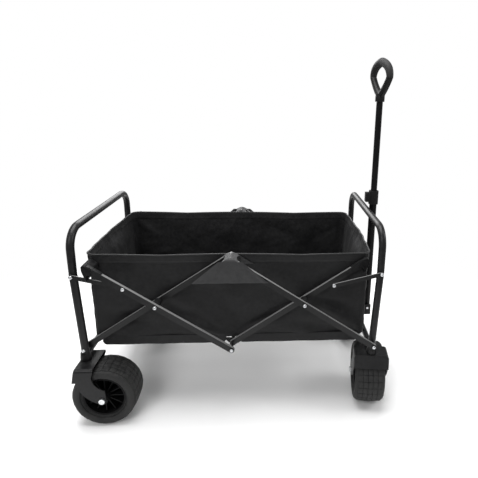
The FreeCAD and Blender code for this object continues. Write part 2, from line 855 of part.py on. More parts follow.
def build_hub(name, place):
    """A deep plastic wheel: barrel, web, rim band and radial ribs on both faces."""
    body = new_body(name + "_turned_part")
    band = "tyreBore / 2 - clothGap"
    half = "tyreWidth / 2 - rimInset"
    inner = f"{band} - rimWall"
    outline = polygon(
        body,
        "XY_Plane",
        [
            ("axleDia / 2 + runningGap", "-hubLength / 2"),
            ("barrelDia / 2", "-hubLength / 2"),
            ("barrelDia / 2 + 2", "-webThick / 2"),
            (inner, "-webThick / 2"),
            (inner, f"-({half})"),
            (band, f"-({half})"),
            (band, half),
            (inner, half),
            (inner, "webThick / 2"),
            ("barrelDia / 2 + 2", "webThick / 2"),
            ("barrelDia / 2", "hubLength / 2"),
            ("axleDia / 2 + runningGap", "hubLength / 2"),
        ],
    )
    revolution(body, outline)
    pieces = [body]
    depth = f"2 * ({half} - ribInset)"
    for index in range(RIB_COUNT):
        turn = Rotation(Y_AXIS, 360.0 * index / RIB_COUNT)
        corner = Vector(value_of("barrelDia / 2 - ribSink"), -value_of(depth) / 2, -size("ribThick") / 2)
        rib = box(
            f"{name}_rib{index}",
            f"{inner} - barrelDia / 2 + 2 * ribSink",
            depth,
            "ribThick",
            turn.multVec(corner),
            turn,
        )
        pieces.append(rib)
    hub = fuse(name, pieces)
    hub.Placement = place
    return hub


def build_axle(name, place):
    """The wheel's bolt with its head and nut, along Y."""
    half = size("forkWidth") / 2
    start = Vector(0, -half, 0)
    pieces = [
        cylinder(name + "_shank", "axleDia", "forkWidth", start, Y_AXIS),
        cylinder(name + "_nut", "nutDia", "nutThick", Vector(0, half, 0), Y_AXIS),
        cylinder(
            name + "_head", "nutDia", "nutThick", Vector(0, -half - size("nutThick"), 0), Y_AXIS
        ),
    ]
    axle = fuse(name, pieces)
    axle.Placement = place
    return axle


def build_caster(end, side):
    """One swivel caster: its fork, axle bolt, wheel and tyre."""
    name = f"{end}_{side}"
    pivot = Vector(ENDS[end] * size("footX"), SIDES[side] * size("postY"), 0)
    turn = Rotation(Z_AXIS, TRAIL_ANGLES[(end, side)])
    swivel = Placement(pivot, turn)
    hub_place = swivel.multiply(Placement(Vector(size("trail"), 0, size("wheelDia") / 2), Rotation()))
    keep(f"{name}_caster_fork", build_fork(f"{name}_fork", swivel))
    keep(f"{name}_axle_bolt", build_axle(f"{name}_axle", hub_place))
    keep(f"{name}_wheel", build_hub(f"{name}_hub", hub_place))
    keep(f"{name}_tyre", build_tyre(f"{name}_tyre_body", hub_place))


def build_handle_bracket():
    """Two cheeks on the front cross bar that hold the pull handle's pin."""
    bar_x = value_of(CROSS_BAR_X)
    cheek_in = value_of("poleDia / 2 + layerGap")
    behind = f"({CROSS_BAR_X}) - crossBarDia / 2 - bracketWall"
    below = "crossBarZ - crossBarDia / 2 - bracketWall"
    back = box(
        "bracket_cheek",
        f"poleX + poleDia / 2 - ({behind})",
        "bracketWall",
        f"poleZ + poleDia / 2 - ({below})",
        Vector(value_of(behind), cheek_in, value_of(below)),
    )
    bar_hole = cylinder(
        "bracket_bar_hole",
        "crossBarDia",
        "3 * bracketWall",
        Vector(bar_x, cheek_in - size("bracketWall"), size("crossBarZ")),
        Y_AXIS,
    )
    pin_hole = cylinder(
        "bracket_pin_hole",
        "pinDia",
        "3 * bracketWall",
        Vector(size("poleX"), cheek_in - size("bracketWall"), size("poleZ")),
        Y_AXIS,
    )
    cheek = cut("bracket_cheek_drilled", back, [bar_hole, pin_hole])
    keep("handle_bracket", both_sides("bracket_cheeks", cheek))
    reach = value_of("poleDia / 2 + layerGap + bracketWall + headThick")
    pin = cylinder(
        "handle_pin_bar",
        "pinDia",
        "2 * (poleDia / 2 + layerGap + bracketWall + headThick)",
        Vector(size("poleX"), -reach, size("poleZ")),
        Y_AXIS,
    )
    keep("handle_pin", pin)


def build_handle():
    """The pull handle: outer tube, locking collar, sliding inner tube and grip."""
    x = size("poleX")
    bottom = size("poleZ") - size("poleDia") / 2
    base = Vector(x, 0, bottom)
    rise = "poleTopZ - poleZ + poleDia / 2"
    outer = cylinder("pole_outer", "poleDia", rise, base, Z_AXIS)
    bore = cylinder("pole_bore", "poleDia - 2 * poleWall", rise, base, Z_AXIS)
    eye = cylinder(
        "pole_eye",
        HOLE,
        "2 * poleDia",
        Vector(x, -size("poleDia"), size("poleZ")),
        Y_AXIS,
    )
    keep("handle_outer_tube", cut("pole", outer, [bore, eye]))
    top = size("poleTopZ")
    collar_base = Vector(x, 0, top - size("collarSeat"))
    collar = cylinder("collar_body", "collarDia", "collarLength", collar_base, Z_AXIS)
    lower_bore = cylinder("collar_seat", "poleDia", "collarSeat", collar_base, Z_AXIS)
    upper_bore = cylinder(
        "collar_bore", "innerDia + 2 * runningGap", "2 * collarLength", collar_base, Z_AXIS
    )
    lever = box(
        "collar_lever",
        "leverLength",
        "leverWidth",
        "collarLength - leverFoot - leverHead",
        collar_base - Vector(
            size("collarDia") / 2 + size("leverReach"), size("leverWidth") / 2, -size("leverFoot")
        ),
    )
    body = fuse("collar_blank", [collar, lever])
    keep("handle_lock_collar", cut("collar", body, [lower_bore, upper_bore]))
    rod_base = Vector(x, 0, size("innerBottomZ"))
    rod = cylinder("rod_outer", "innerDia", "gripBaseZ - innerBottomZ", rod_base, Z_AXIS)
    rod_bore = cylinder(
        "rod_bore", "innerDia - 2 * poleWall", "gripBaseZ - innerBottomZ", rod_base, Z_AXIS
    )
    keep("handle_inner_tube", cut("rod", rod, [rod_bore]))
    keep("handle_grip", build_grip())


def build_grip():
    """A rounded triangular loop on a short neck, thicker than the tube it caps."""
    loop = new_body("grip_loop")
    outline = polygon(
        loop,
        "YZ_Plane",
        [
            ("-gripNeck / 2", "gripBaseZ"),
            ("gripNeck / 2", "gripBaseZ"),
            ("gripWidth / 2", "gripTopZ - gripShoulder"),
            ("gripWidth / 2 - gripTaper", "gripTopZ"),
            ("-(gripWidth / 2 - gripTaper)", "gripTopZ"),
            ("-gripWidth / 2", "gripTopZ - gripShoulder"),
        ],
    )
    block = pad(loop, outline, "gripThick")

    def standing(edge):
        first, last = [vertex.Point for vertex in edge.Vertexes]
        across = abs(first.y - last.y) < TOUCH and abs(first.z - last.z) < TOUCH
        return across and first.z > size("gripBaseZ") + TOUCH

    round_edges(loop, block, "gripRound", standing)
    window = polygon(
        loop,
        "YZ_Plane",
        [
            ("-windowFoot / 2", "gripBaseZ + windowRise"),
            ("windowFoot / 2", "gripBaseZ + windowRise"),
            ("gripWidth / 2 - gripBar", "gripTopZ - windowShoulder"),
            ("gripWidth / 2 - gripBar - gripTaper", "gripTopZ - gripBar"),
            ("-(gripWidth / 2 - gripBar - gripTaper)", "gripTopZ - gripBar"),
            ("-(gripWidth / 2 - gripBar)", "gripTopZ - windowShoulder"),
        ],
    )
    pocket(loop, window)
    loop.Placement = Placement(Vector(size("poleX"), 0, 0), Rotation())
    return loop


for cart_end in ENDS:
    build_arch(cart_end)
    build_cross_bar(cart_end)
    build_sockets(cart_end)
    build_frame_pins(cart_end)
    build_foot_links(cart_end)
    build_corner_links(cart_end)
    build_middle_pins(cart_end)
    build_corner_caps(cart_end)
    build_struts(cart_end)
    for cart_side in SIDES:
        build_caster(cart_end, cart_side)
build_top_pins()
build_bottom_bar()
build_basket()
build_handle_bracket()
build_handle()
doc.recompute()

for item in doc.Objects:
    if "Invalid" in item.State or "Error" in item.State:
        raise SystemExit(f"{item.Label} did not rebuild: {item.State}")
os.makedirs("parts", exist_ok=True)
for node in NODES:
    if node.Shape.isNull() or not node.Shape.isValid() or node.Shape.Volume <= 0:
        raise SystemExit(f"{node.Label} has no sound shape")
for node in NODES:
    node.Shape.exportStep(f"parts/{node.Label}.step")
    extent = node.Shape.BoundBox
    print(
        f"{node.Label}: {len(node.Shape.Solids)} solids, {node.Shape.Volume / 1000:.1f} cm3,"
        f" X {extent.XMin:.1f}..{extent.XMax:.1f}, Y {extent.YMin:.1f}..{extent.YMax:.1f},"
        f" Z {extent.ZMin:.1f}..{extent.ZMax:.1f}"
    )
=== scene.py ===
"""Looks of a folding camping cart: finishes, fabric tub, tyres, grip, floor, lights and camera.

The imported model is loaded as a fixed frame. Its steel and plastic nodes keep their meshes and get
procedural finishes. The cloth tub, the block-tread tyres and the loop grip are modelled here, and
they stand for the plain solids of the same name. Lengths are in metres.
"""
import json
import logging
import math
from collections.abc import Callable, Iterable
from dataclasses import dataclass, field
from enum import Enum

import bpy
from mathutils import Matrix, Vector, noise


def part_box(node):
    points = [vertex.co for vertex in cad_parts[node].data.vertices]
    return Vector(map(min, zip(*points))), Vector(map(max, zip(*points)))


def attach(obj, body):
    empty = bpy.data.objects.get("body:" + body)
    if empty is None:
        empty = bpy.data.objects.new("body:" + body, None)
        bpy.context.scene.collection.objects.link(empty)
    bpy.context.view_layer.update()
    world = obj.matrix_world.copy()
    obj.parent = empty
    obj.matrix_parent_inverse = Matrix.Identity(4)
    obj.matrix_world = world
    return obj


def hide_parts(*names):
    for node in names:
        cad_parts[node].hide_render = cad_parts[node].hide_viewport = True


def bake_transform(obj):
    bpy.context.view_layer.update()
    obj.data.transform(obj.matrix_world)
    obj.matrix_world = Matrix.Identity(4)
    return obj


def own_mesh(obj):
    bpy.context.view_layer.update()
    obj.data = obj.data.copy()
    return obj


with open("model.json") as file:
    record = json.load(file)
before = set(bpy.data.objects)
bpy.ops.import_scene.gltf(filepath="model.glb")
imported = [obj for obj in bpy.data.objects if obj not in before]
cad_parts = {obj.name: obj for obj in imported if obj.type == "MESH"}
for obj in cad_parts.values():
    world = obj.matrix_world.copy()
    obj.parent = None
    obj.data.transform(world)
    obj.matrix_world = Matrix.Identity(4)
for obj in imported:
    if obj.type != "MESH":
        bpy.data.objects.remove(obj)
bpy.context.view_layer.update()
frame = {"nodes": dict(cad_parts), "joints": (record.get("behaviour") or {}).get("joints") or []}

LOG = logging.getLogger("cart")
Colour = tuple[float, float, float]
Triple = tuple[float, float, float]


# ---------------------------------------------------------------- hand tools


class Pick(Enum):
    """The kind of element that an edit-mode step works on."""

    VERTEX = (True, False, False)
    EDGE = (False, True, False)
    FACE = (False, False, True)


class Bench:
    """The modelling bench: selection, edit mode and modifiers, used one piece at a time."""

    @staticmethod
    def clear() -> None:
        """Leaves edit mode and deselects everything."""
        if bpy.context.mode != "OBJECT":
            bpy.ops.object.mode_set(mode="OBJECT")
        bpy.ops.object.select_all(action="DESELECT")

    @staticmethod
    def hold(piece: bpy.types.Object) -> None:
        """Makes one piece the only selected and the active one."""
        Bench.clear()
        piece.select_set(True)
        bpy.context.view_layer.objects.active = piece

    @staticmethod
    def taken(name: str) -> bpy.types.Object:
        """Names the primitive that was just added and puts its place in its mesh.

        Args:
            name: The piece's name.

        Returns:
            The piece, whose object sits at the origin.
        """
        piece = bpy.context.active_object
        piece.name = name
        piece.data.name = name
        if piece.type == "MESH":
            bpy.ops.object.transform_apply(location=True, rotation=True, scale=True)
        return piece

    @staticmethod
    def edit(piece: bpy.types.Object, kind: Pick, test: Callable[..., bool] | None = None) -> None:
        """Opens a mesh in edit mode with the chosen elements selected.

        Args:
            piece: The mesh object.
            kind: Vertices, edges or faces.
            test: Says for an element whether it is selected; None selects all.
        """
        Bench.hold(piece)
        mesh = piece.data
        bpy.context.tool_settings.mesh_select_mode = kind.value
        for elements in (mesh.vertices, mesh.edges, mesh.polygons):
            elements.foreach_set("select", [False] * len(elements))
        chosen = {Pick.VERTEX: mesh.vertices, Pick.EDGE: mesh.edges, Pick.FACE: mesh.polygons}[kind]
        if test is not None:
            for element in chosen:
                element.select = test(element)
        bpy.ops.object.mode_set(mode="EDIT")
        if test is None:
            bpy.ops.mesh.select_all(action="SELECT")

    @staticmethod
    def done() -> None:
        """Closes edit mode."""
        bpy.ops.object.mode_set(mode="OBJECT")

    @staticmethod
    def modify(piece: bpy.types.Object, kind: str, **settings: object) -> None:
        """Adds a modifier with its settings and applies it.

        Args:
            piece: The mesh object.
            kind: Blender's name for the modifier.
            settings: Properties of the modifier and their values.
        """
        Bench.hold(piece)
        modifier = piece.modifiers.new(kind.lower(), kind)
        for key, value in settings.items():
            setattr(modifier, key, value)
        bpy.ops.object.modifier_apply(modifier=modifier.name)

    @staticmethod
    def subdivide(piece: bpy.types.Object, levels: int) -> None:
        """Smooths a mesh with subdivision surfaces, applied."""
        Bench.modify(piece, "SUBSURF", levels=levels, render_levels=levels)

    @staticmethod
    def smooth(piece: bpy.types.Object, degrees: float = 35.0) -> None:
        """Shades a mesh smooth, with edges sharper than an angle left crisp."""
        Bench.hold(piece)
        bpy.ops.object.shade_smooth_by_angle(angle=math.radians(degrees), keep_sharp_edges=True)

    @staticmethod
    def outwards(piece: bpy.types.Object) -> None:
        """Merges doubles and turns every face outwards."""
        Bench.edit(piece, Pick.VERTEX)
        bpy.ops.mesh.remove_doubles(threshold=MERGE)
        bpy.ops.mesh.normals_make_consistent(inside=False)
        Bench.done()

    @staticmethod
    def copy(piece: bpy.types.Object, name: str, matrix: Matrix | None = None) -> bpy.types.Object:
        """Copies a piece with a mesh of its own.

        Args:
            piece: The piece to copy.
            name: The copy's name.
            matrix: Moves the copy's mesh; None leaves it in place.

        Returns:
            The copy.
        """
        twin = piece.copy()
        twin.data = piece.data.copy()
        twin.name = name
        twin.data.name = name
        bpy.context.scene.collection.objects.link(twin)
        if matrix is not None:
            twin.data.transform(matrix)
            if matrix.determinant() < 0.0:
                twin.data.flip_normals()
        return twin

    @staticmethod
    def join(pieces: list[bpy.types.Object], name: str) -> bpy.types.Object:
        """Joins pieces into the first one and names it."""
        Bench.hold(pieces[0])
        for piece in pieces:
            piece.select_set(True)
        bpy.ops.object.join()
        pieces[0].name = name
        pieces[0].data.name = name
        return pieces[0]

    @staticmethod
    def tube(piece: bpy.types.Object, radius: float, name: str) -> bpy.types.Object:
        """Turns a mesh made of edges alone into a round tube along them.

        Args:
            piece: The mesh of edges.
            radius: The tube's radius.
            name: The tube's name.

        Returns:
            The tube, as a mesh with closed ends.
        """
        Bench.hold(piece)
        bpy.ops.object.convert(target="CURVE")
        line = bpy.context.active_object
        line.data.bevel_depth = radius
        line.data.bevel_resolution = TUBE_ROUNDNESS
        line.data.use_fill_caps = True
        bpy.ops.object.convert(target="MESH")
        return Bench.taken(name)


MERGE = 0.00002
TUBE_ROUNDNESS = 2


def smoothstep(low: float, high: float, value: float) -> float:
    """Rises smoothly from 0 at low to 1 at high."""
    share = min(max((value - low) / (high - low), 0.0), 1.0)
    return share * share * (3.0 - 2.0 * share)


def bell(distance: float, width: float) -> float:
    """Falls from 1 at no distance towards 0 past the width."""
    return math.exp(-((distance / width) ** 2))


# ---------------------------------------------------------------- shared shader effects


class Graph:
    """A node tree that is filled one node at a time."""

    def __init__(self, tree: bpy.types.NodeTree) -> None:
        """Keeps the tree."""
        self.tree = tree

    def node(self, kind: str, **inputs: object) -> bpy.types.Node:
        """Adds a node and sets or links its inputs.

        Args:
            kind: The node's type. Words after a colon set its operation.
            inputs: An input's name, with _ for a space, or in0, in1 for its place, and its value
                or the output socket that feeds it.

        Returns:
            The node.
        """
        name, _, operation = kind.partition(":")
        made = self.tree.nodes.new(name)
        if operation:
            made.operation = operation
        for key, value in inputs.items():
            spot = int(key[2:]) if key.startswith("in") and key[2:].isdigit() else key.replace("_", " ")
            socket = made.inputs[spot]
            if isinstance(value, bpy.types.NodeSocket):
                self.tree.links.new(value, socket)
            else:
                socket.default_value = value
        return made

    def maths(self, operation: str, *values: object) -> bpy.types.NodeSocket:
        """Adds a Math node.

        Args:
            operation: The node's operation.
            values: Its inputs, each a number or an output socket.

        Returns:
            The result's socket.
        """
        spots = {f"in{place}": value for place, value in enumerate(values)}
        return self.node(f"ShaderNodeMath:{operation}", **spots).outputs[0]

    def group(self, tree: bpy.types.NodeTree, **inputs: object) -> bpy.types.Node:
        """Places a node group and sets or links its inputs."""
        made = self.tree.nodes.new("ShaderNodeGroup")
        made.node_tree = tree
        for key, value in inputs.items():
            socket = made.inputs[key.replace("_", " ")]
            if isinstance(value, bpy.types.NodeSocket):
                self.tree.links.new(value, socket)
            else:
                socket.default_value = value
        return made

    def ramp(self, factor: bpy.types.NodeSocket, low: float, high: float) -> bpy.types.NodeSocket:
        """Adds a Map Range node that spreads low to high over 0 to 1."""
        made = self.node("ShaderNodeMapRange", Value=factor)
        made.inputs["From Min"].default_value = low
        made.inputs["From Max"].default_value = high
        return made.outputs["Result"]


class Effects:
    """Shader node groups that several finishes share, each built once."""

    def __init__(self) -> None:
        """Builds the groups."""
        self.shade = self._shade()
        self.weave = self._weave()
        self.grain = self._grain()
        self.stitch = self._stitch()

    @staticmethod
    def _start(name: str, inputs: dict[str, float], outputs: Iterable[str]) -> tuple[Graph, ...]:
        """Starts a group with float sockets.

        Args:
            name: The group's name.
            inputs: Input names and their defaults.
            outputs: Output names.

        Returns:
            The graph, its input node and its output node.
        """
        tree = bpy.data.node_groups.new(name, "ShaderNodeTree")
        for key, value in inputs.items():
            socket = tree.interface.new_socket(name=key, in_out="INPUT", socket_type="NodeSocketFloat")
            socket.default_value = value
        for key in outputs:
            tree.interface.new_socket(name=key, in_out="OUTPUT", socket_type="NodeSocketFloat")
        return Graph(tree), tree.nodes.new("NodeGroupInput"), tree.nodes.new("NodeGroupOutput")

    def _shade(self) -> bpy.types.NodeTree:
        """Builds broad and fine unevenness, handling marks and dust, and a mask of the upper faces for a painted
        highlight.

        Returns:
            The group, with a Mask of rubbed spots, the Dust, and a mask of the Upper faces that carries the painted
            top highlight.
        """
        graph, entry, exit_ = self._start("uneven_shade", {"Scale": 12.0, "Fine": 90.0}, ["Mask", "Dust", "Upper"])
        place = graph.node("ShaderNodeTexCoord").outputs["Object"]
        broad = graph.node("ShaderNodeTexNoise", Vector=place, Scale=entry.outputs["Scale"], Detail=4.0)
        fine = graph.node("ShaderNodeTexNoise", Vector=place, Scale=entry.outputs["Fine"], Detail=6.0)
        mixed = graph.maths("MULTIPLY", broad.outputs[0], fine.outputs[0])
        graph.tree.links.new(graph.ramp(mixed, 0.14, 0.36), exit_.inputs["Mask"])
        normal = graph.node("ShaderNodeNewGeometry").outputs["Normal"]
        upward = graph.node("ShaderNodeSeparateXYZ", Vector=normal).outputs["Z"]
        settled = graph.maths("MULTIPLY", graph.ramp(upward, 0.3, 1.0), graph.ramp(fine.outputs[0], 0.4, 0.7))
        graph.tree.links.new(settled, exit_.inputs["Dust"])
        graph.tree.links.new(graph.ramp(upward, 0.35, 0.7), exit_.inputs["Upper"])
        return graph.tree

    def _weave(self) -> bpy.types.NodeTree:
        """Builds a plain weave that lies on walls, ends and floor alike.

        Returns:
            The group, with a Height from 0 to 1.
        """
        graph, entry, exit_ = self._start("cloth_weave", {"Threads": 900.0}, ["Height"])
        coords = graph.node("ShaderNodeTexCoord").outputs["Object"]
        place = graph.node("ShaderNodeSeparateXYZ", Vector=coords)
        facing = graph.node("ShaderNodeSeparateXYZ", Vector=graph.node("ShaderNodeNewGeometry").outputs["Normal"])
        turn = graph.maths("MULTIPLY", entry.outputs["Threads"], math.pi)
        waves = {
            axis: graph.maths("SINE", graph.maths("MULTIPLY", place.outputs[axis], turn)) for axis in "XYZ"
        }
        total: object = 0.0
        for across, (one, two) in {"X": "YZ", "Y": "XZ", "Z": "XY"}.items():
            cell = graph.maths("MULTIPLY", waves[one], waves[two])
            share = graph.maths("MULTIPLY", facing.outputs[across], facing.outputs[across])
            total = graph.maths("MULTIPLY_ADD", cell, share, total)
        graph.tree.links.new(graph.maths("MULTIPLY_ADD", total, 0.5, 0.5), exit_.inputs["Height"])
        return graph.tree

    def _grain(self) -> bpy.types.NodeTree:
        """Builds the pebbled skin of moulded plastic, rubber and sprayed paint.

        Returns:
            The group, with a Height from 0 to 1.
        """
        graph, entry, exit_ = self._start("moulded_grain", {"Scale": 700.0, "Cells": 0.5}, ["Height"])
        place = graph.node("ShaderNodeTexCoord").outputs["Object"]
        cells = graph.node("ShaderNodeTexVoronoi", Vector=place, Scale=entry.outputs["Scale"])
        cloud = graph.node("ShaderNodeTexNoise", Vector=place, Scale=entry.outputs["Scale"], Detail=3.0)
        rest = graph.maths("SUBTRACT", 1.0, entry.outputs["Cells"])
        part = graph.maths("MULTIPLY", cells.outputs["Distance"], entry.outputs["Cells"])
        height = graph.maths("MULTIPLY_ADD", cloud.outputs[0], rest, part)
        graph.tree.links.new(height, exit_.inputs["Height"])
        return graph.tree

    def _stitch(self) -> bpy.types.NodeTree:
        """Builds a level row of thread dashes at a given height.

        Returns:
            The group, with a Mask that is 1 on a thread.
        """
        values = {"Height": 0.5, "Pitch": 0.005, "Width": 0.0011}
        graph, entry, exit_ = self._start("stitch_row", values, ["Mask"])
        coords = graph.node("ShaderNodeTexCoord").outputs["Object"]
        place = graph.node("ShaderNodeSeparateXYZ", Vector=coords)
        along = graph.maths("ADD", place.outputs["X"], place.outputs["Y"])
        step = graph.maths("FRACT", graph.maths("DIVIDE", along, entry.outputs["Pitch"]))
        dash = graph.maths("LESS_THAN", step, 0.68)
        off = graph.maths("ABSOLUTE", graph.maths("SUBTRACT", place.outputs["Z"], entry.outputs["Height"]))
        row = graph.maths("LESS_THAN", off, graph.maths("MULTIPLY", entry.outputs["Width"], 0.5))
        graph.tree.links.new(graph.maths("MULTIPLY", dash, row), exit_.inputs["Mask"])
        return graph.tree


class Skin(Enum):
    """What a finish's surface is made like."""

    WEAVE = "woven cloth"
    GRAIN = "pebbled moulding"
    PAINT = "sprayed enamel"
    PLATE = "zinc plating"


@dataclass(frozen=True)
class Finish:
    """A surface finish.

    Attributes:
        name: The material's name.
        skin: What the surface is made like.
        colour: The main colour.
        marked: The colour where the surface is rubbed, dusty or thin.
        roughness: The main roughness.
        spread: How far the roughness varies.
        specular: The strength of the plain reflection.
        metallic: 1 for bare metal.
        coat: The strength of a clear coat.
        sheen: The strength of a cloth sheen.
        scale: The size of the skin's pattern: threads or pebbles in a metre.
        bump: How strongly the pattern stands out.
        dust: How much dust lies on faces that look up.
        painted_top_highlight: How far faces that look up are lightened, a painted highlight along their top edges.
        stitched: The heights of stitch rows.
    """

    name: str
    skin: Skin
    colour: Colour
    marked: Colour
    roughness: float
    spread: float = 0.12
    specular: float = 0.3
    metallic: float = 0.0
    coat: float = 0.0
    sheen: float = 0.0
    scale: float = 700.0
    bump: float = 0.1
    dust: float = 0.0
    painted_top_highlight: float = 0.0
    stitched: tuple[float, ...] = ()

    def made(self, effects: Effects) -> bpy.types.Material:
        """Builds the material.

        Args:
            effects: The shared node groups.

        Returns:
            The material.
        """
        material = bpy.data.materials.new(self.name)
        material.use_nodes = True
        graph = Graph(material.node_tree)
        shader = material.node_tree.nodes["Principled BSDF"]
        shader.inputs["Metallic"].default_value = self.metallic
        shader.inputs["Specular IOR Level"].default_value = self.specular
        shader.inputs["Coat Weight"].default_value = self.coat
        shader.inputs["Coat Roughness"].default_value = COAT_ROUGHNESS
        shader.inputs["Sheen Weight"].default_value = self.sheen
        shader.inputs["Sheen Roughness"].default_value = SHEEN_ROUGHNESS
        marks = graph.group(effects.shade)
        colour = self._blend(graph, marks.outputs["Mask"], self.colour, self.marked)
        if self.dust:
            amount = graph.maths("MULTIPLY", marks.outputs["Dust"], self.dust)
            colour = self._blend(graph, amount, colour, DUST_COLOUR)
        # Painted highlight: faces that look up are lightened towards pale grey, standing in for the light caught along
        # the top edges.
        if self.painted_top_highlight:
            amount = graph.maths("MULTIPLY", marks.outputs["Upper"], self.painted_top_highlight)
            colour = self._blend(graph, amount, colour, PAINTED_HIGHLIGHT_COLOUR)
        for height in self.stitched:
            thread = graph.group(effects.stitch, Height=height)
            colour = self._blend(graph, thread.outputs["Mask"], colour, THREAD_COLOUR)
        graph.tree.links.new(colour, shader.inputs["Base Color"])
        rough = graph.maths("MULTIPLY_ADD", marks.outputs["Mask"], self.spread, self.roughness)
        graph.tree.links.new(rough, shader.inputs["Roughness"])
        pattern = self._pattern(graph, effects)
        bump = graph.node("ShaderNodeBump", Height=pattern, Strength=self.bump, Distance=BUMP_DEPTH)
        graph.tree.links.new(bump.outputs["Normal"], shader.inputs["Normal"])
        return material

    def _pattern(self, graph: Graph, effects: Effects) -> bpy.types.NodeSocket:
        """Places the pattern of this finish's skin and gives its height."""
        if self.skin is Skin.WEAVE:
            return graph.group(effects.weave, Threads=self.scale).outputs["Height"]
        cells = {Skin.GRAIN: 0.6, Skin.PAINT: 0.0, Skin.PLATE: 0.2}[self.skin]
        return graph.group(effects.grain, Scale=self.scale, Cells=cells).outputs["Height"]

    @staticmethod
    def _blend(graph: Graph, factor: bpy.types.NodeSocket, one: object, two: object) -> bpy.types.NodeSocket:
        """Mixes two colours by a factor.

        Args:
            graph: The material's graph.
            factor: 0 gives the first colour and 1 the second.
            one: A colour or a colour socket.
            two: A colour.

        Returns:
            The mixed colour.
        """
        mix = graph.tree.nodes.new("ShaderNodeMix")
        mix.data_type = "RGBA"
        graph.tree.links.new(factor, mix.inputs[0])
        if isinstance(one, bpy.types.NodeSocket):
            graph.tree.links.new(one, mix.inputs[6])
        else:
            mix.inputs[6].default_value = (*one, 1.0)
        mix.inputs[7].default_value = (*two, 1.0)
        return mix.outputs[2]


BUMP_DEPTH = 0.0006
COAT_ROUGHNESS = 0.12
SHEEN_ROUGHNESS = 0.45
DUST_COLOUR: Colour = (0.10, 0.10, 0.10)
# The pale grey of the painted highlight on faces that look up.
PAINTED_HIGHLIGHT_COLOUR: Colour = (0.20, 0.20, 0.20)
THREAD_COLOUR: Colour = (0.030, 0.030, 0.031)


@dataclass
class Finishes:
    """Every finish of the cart, built once and shared by its pieces.

    Attributes:
        effects: The shared node groups.
        made: The materials by finish name.
    """

    effects: Effects
    made: dict[str, bpy.types.Material] = field(default_factory=dict)

    def of(self, finish: Finish) -> bpy.types.Material:
        """Gives a finish's material, built the first time it is asked for."""
        if finish.name not in self.made:
            self.made[finish.name] = finish.made(self.effects)
        return self.made[finish.name]

    def dress(self, piece: bpy.types.Object, *finishes: Finish) -> None:
        """Gives a new piece its materials in order."""
        piece.data.materials.clear()
        for finish in finishes:
            piece.data.materials.append(self.of(finish))

    def dress_frame(self) -> None:
        """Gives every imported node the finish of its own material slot."""
        for name, node in frame["nodes"].items():
            for slot in node.material_slots:
                key = slot.material.name.split(".")[0]
                finish = NODE_FINISHES.get(name) or SLOT_FINISHES.get(key)
                if finish:
                    slot.material = self.of(finish)
            if not node.material_slots:
                LOG.warning("no slot on %s", name)


TUB_CLOTH = Finish(
    "cart_cloth", Skin.WEAVE, (0.0070, 0.0070, 0.0074), (0.0135, 0.0135, 0.0140), 0.50,
    specular=0.20, sheen=0.02, scale=1100.0, bump=0.22, dust=0.05,
)
HEM_CLOTH = Finish(
    "hem_cloth", Skin.WEAVE, (0.011, 0.011, 0.0115), (0.017, 0.017, 0.0175), 0.5,
    specular=0.22, sheen=0.02, scale=1100.0, bump=0.25, dust=0.05, stitched=(0.4955,),
)
# The flap cloth is coloured lighter than the tub cloth: painted sheen for the light that the flap's fold catches.
FLAP_CLOTH = Finish(
    "flap_cloth", Skin.WEAVE, (0.024, 0.024, 0.025), (0.036, 0.036, 0.037), 0.5,
    specular=0.35, sheen=0.05, scale=900.0, bump=0.3, dust=0.06, stitched=(0.4555,),
)
BINDING = Finish(
    "edge_binding", Skin.WEAVE, (0.014, 0.014, 0.0145), (0.022, 0.022, 0.0225), 0.42,
    specular=0.25, sheen=0.03, scale=700.0, bump=0.3, dust=0.08,
)
TYRE_RUBBER = Finish(
    "tyre_rubber_skin", Skin.GRAIN, (0.012, 0.012, 0.0122), (0.022, 0.022, 0.0215), 0.62,
    specular=0.30, scale=900.0, bump=0.35, dust=0.16,
)
FRAME_PAINT = Finish(
    "frame_enamel", Skin.PAINT, (0.0075, 0.0075, 0.008), (0.012, 0.012, 0.0125), 0.30,
    specular=0.20, coat=0.04, scale=420.0, bump=0.10, dust=0.10,
)
# The links carry a painted highlight on their faces that look up, for the light line along their top edges.
LINK_PAINT = Finish(
    "link_enamel", Skin.PAINT, (0.0075, 0.0075, 0.0078), (0.012, 0.012, 0.0123), 0.30,
    specular=0.26, scale=520.0, bump=0.10, dust=0.04, painted_top_highlight=0.85,
)
FORK_PAINT = Finish(
    "fork_enamel", Skin.PAINT, (0.008, 0.008, 0.0085), (0.015, 0.015, 0.0155), 0.34,
    specular=0.20, scale=360.0, bump=0.14, dust=0.08,
)
HANDLE_PAINT = Finish(
    "handle_enamel", Skin.PAINT, (0.004, 0.004, 0.0043), (0.007, 0.007, 0.0073), 0.26,
    specular=0.14, scale=420.0, bump=0.08, dust=0.03,
)
ZINC = Finish(
    "zinc_plate", Skin.PLATE, (0.72, 0.73, 0.74), (0.55, 0.56, 0.58), 0.26,
    metallic=1.0, specular=0.5, scale=900.0, bump=0.08,
)
HUB_PLASTIC = Finish(
    "hub_plastic", Skin.GRAIN, (0.0035, 0.0035, 0.0038), (0.006, 0.006, 0.0063), 0.40,
    specular=0.10, scale=1100.0, bump=0.16, dust=0.05,
)
MOULDED_PLASTIC = Finish(
    "moulded_plastic", Skin.GRAIN, (0.006, 0.006, 0.0063), (0.010, 0.010, 0.0103), 0.42,
    specular=0.20, scale=1200.0, bump=0.18, dust=0.05,
)
GRIP_SHELL = Finish(
    "grip_shell", Skin.GRAIN, (0.006, 0.006, 0.0063), (0.009, 0.009, 0.0093), 0.36,
    specular=0.20, scale=1200.0, bump=0.14, dust=0.03,
)
GRIP_PAD = Finish(
    "grip_pad", Skin.GRAIN, (0.016, 0.016, 0.0165), (0.022, 0.022, 0.0225), 0.55,
    specular=0.22, scale=800.0, bump=0.30, dust=0.03,
)
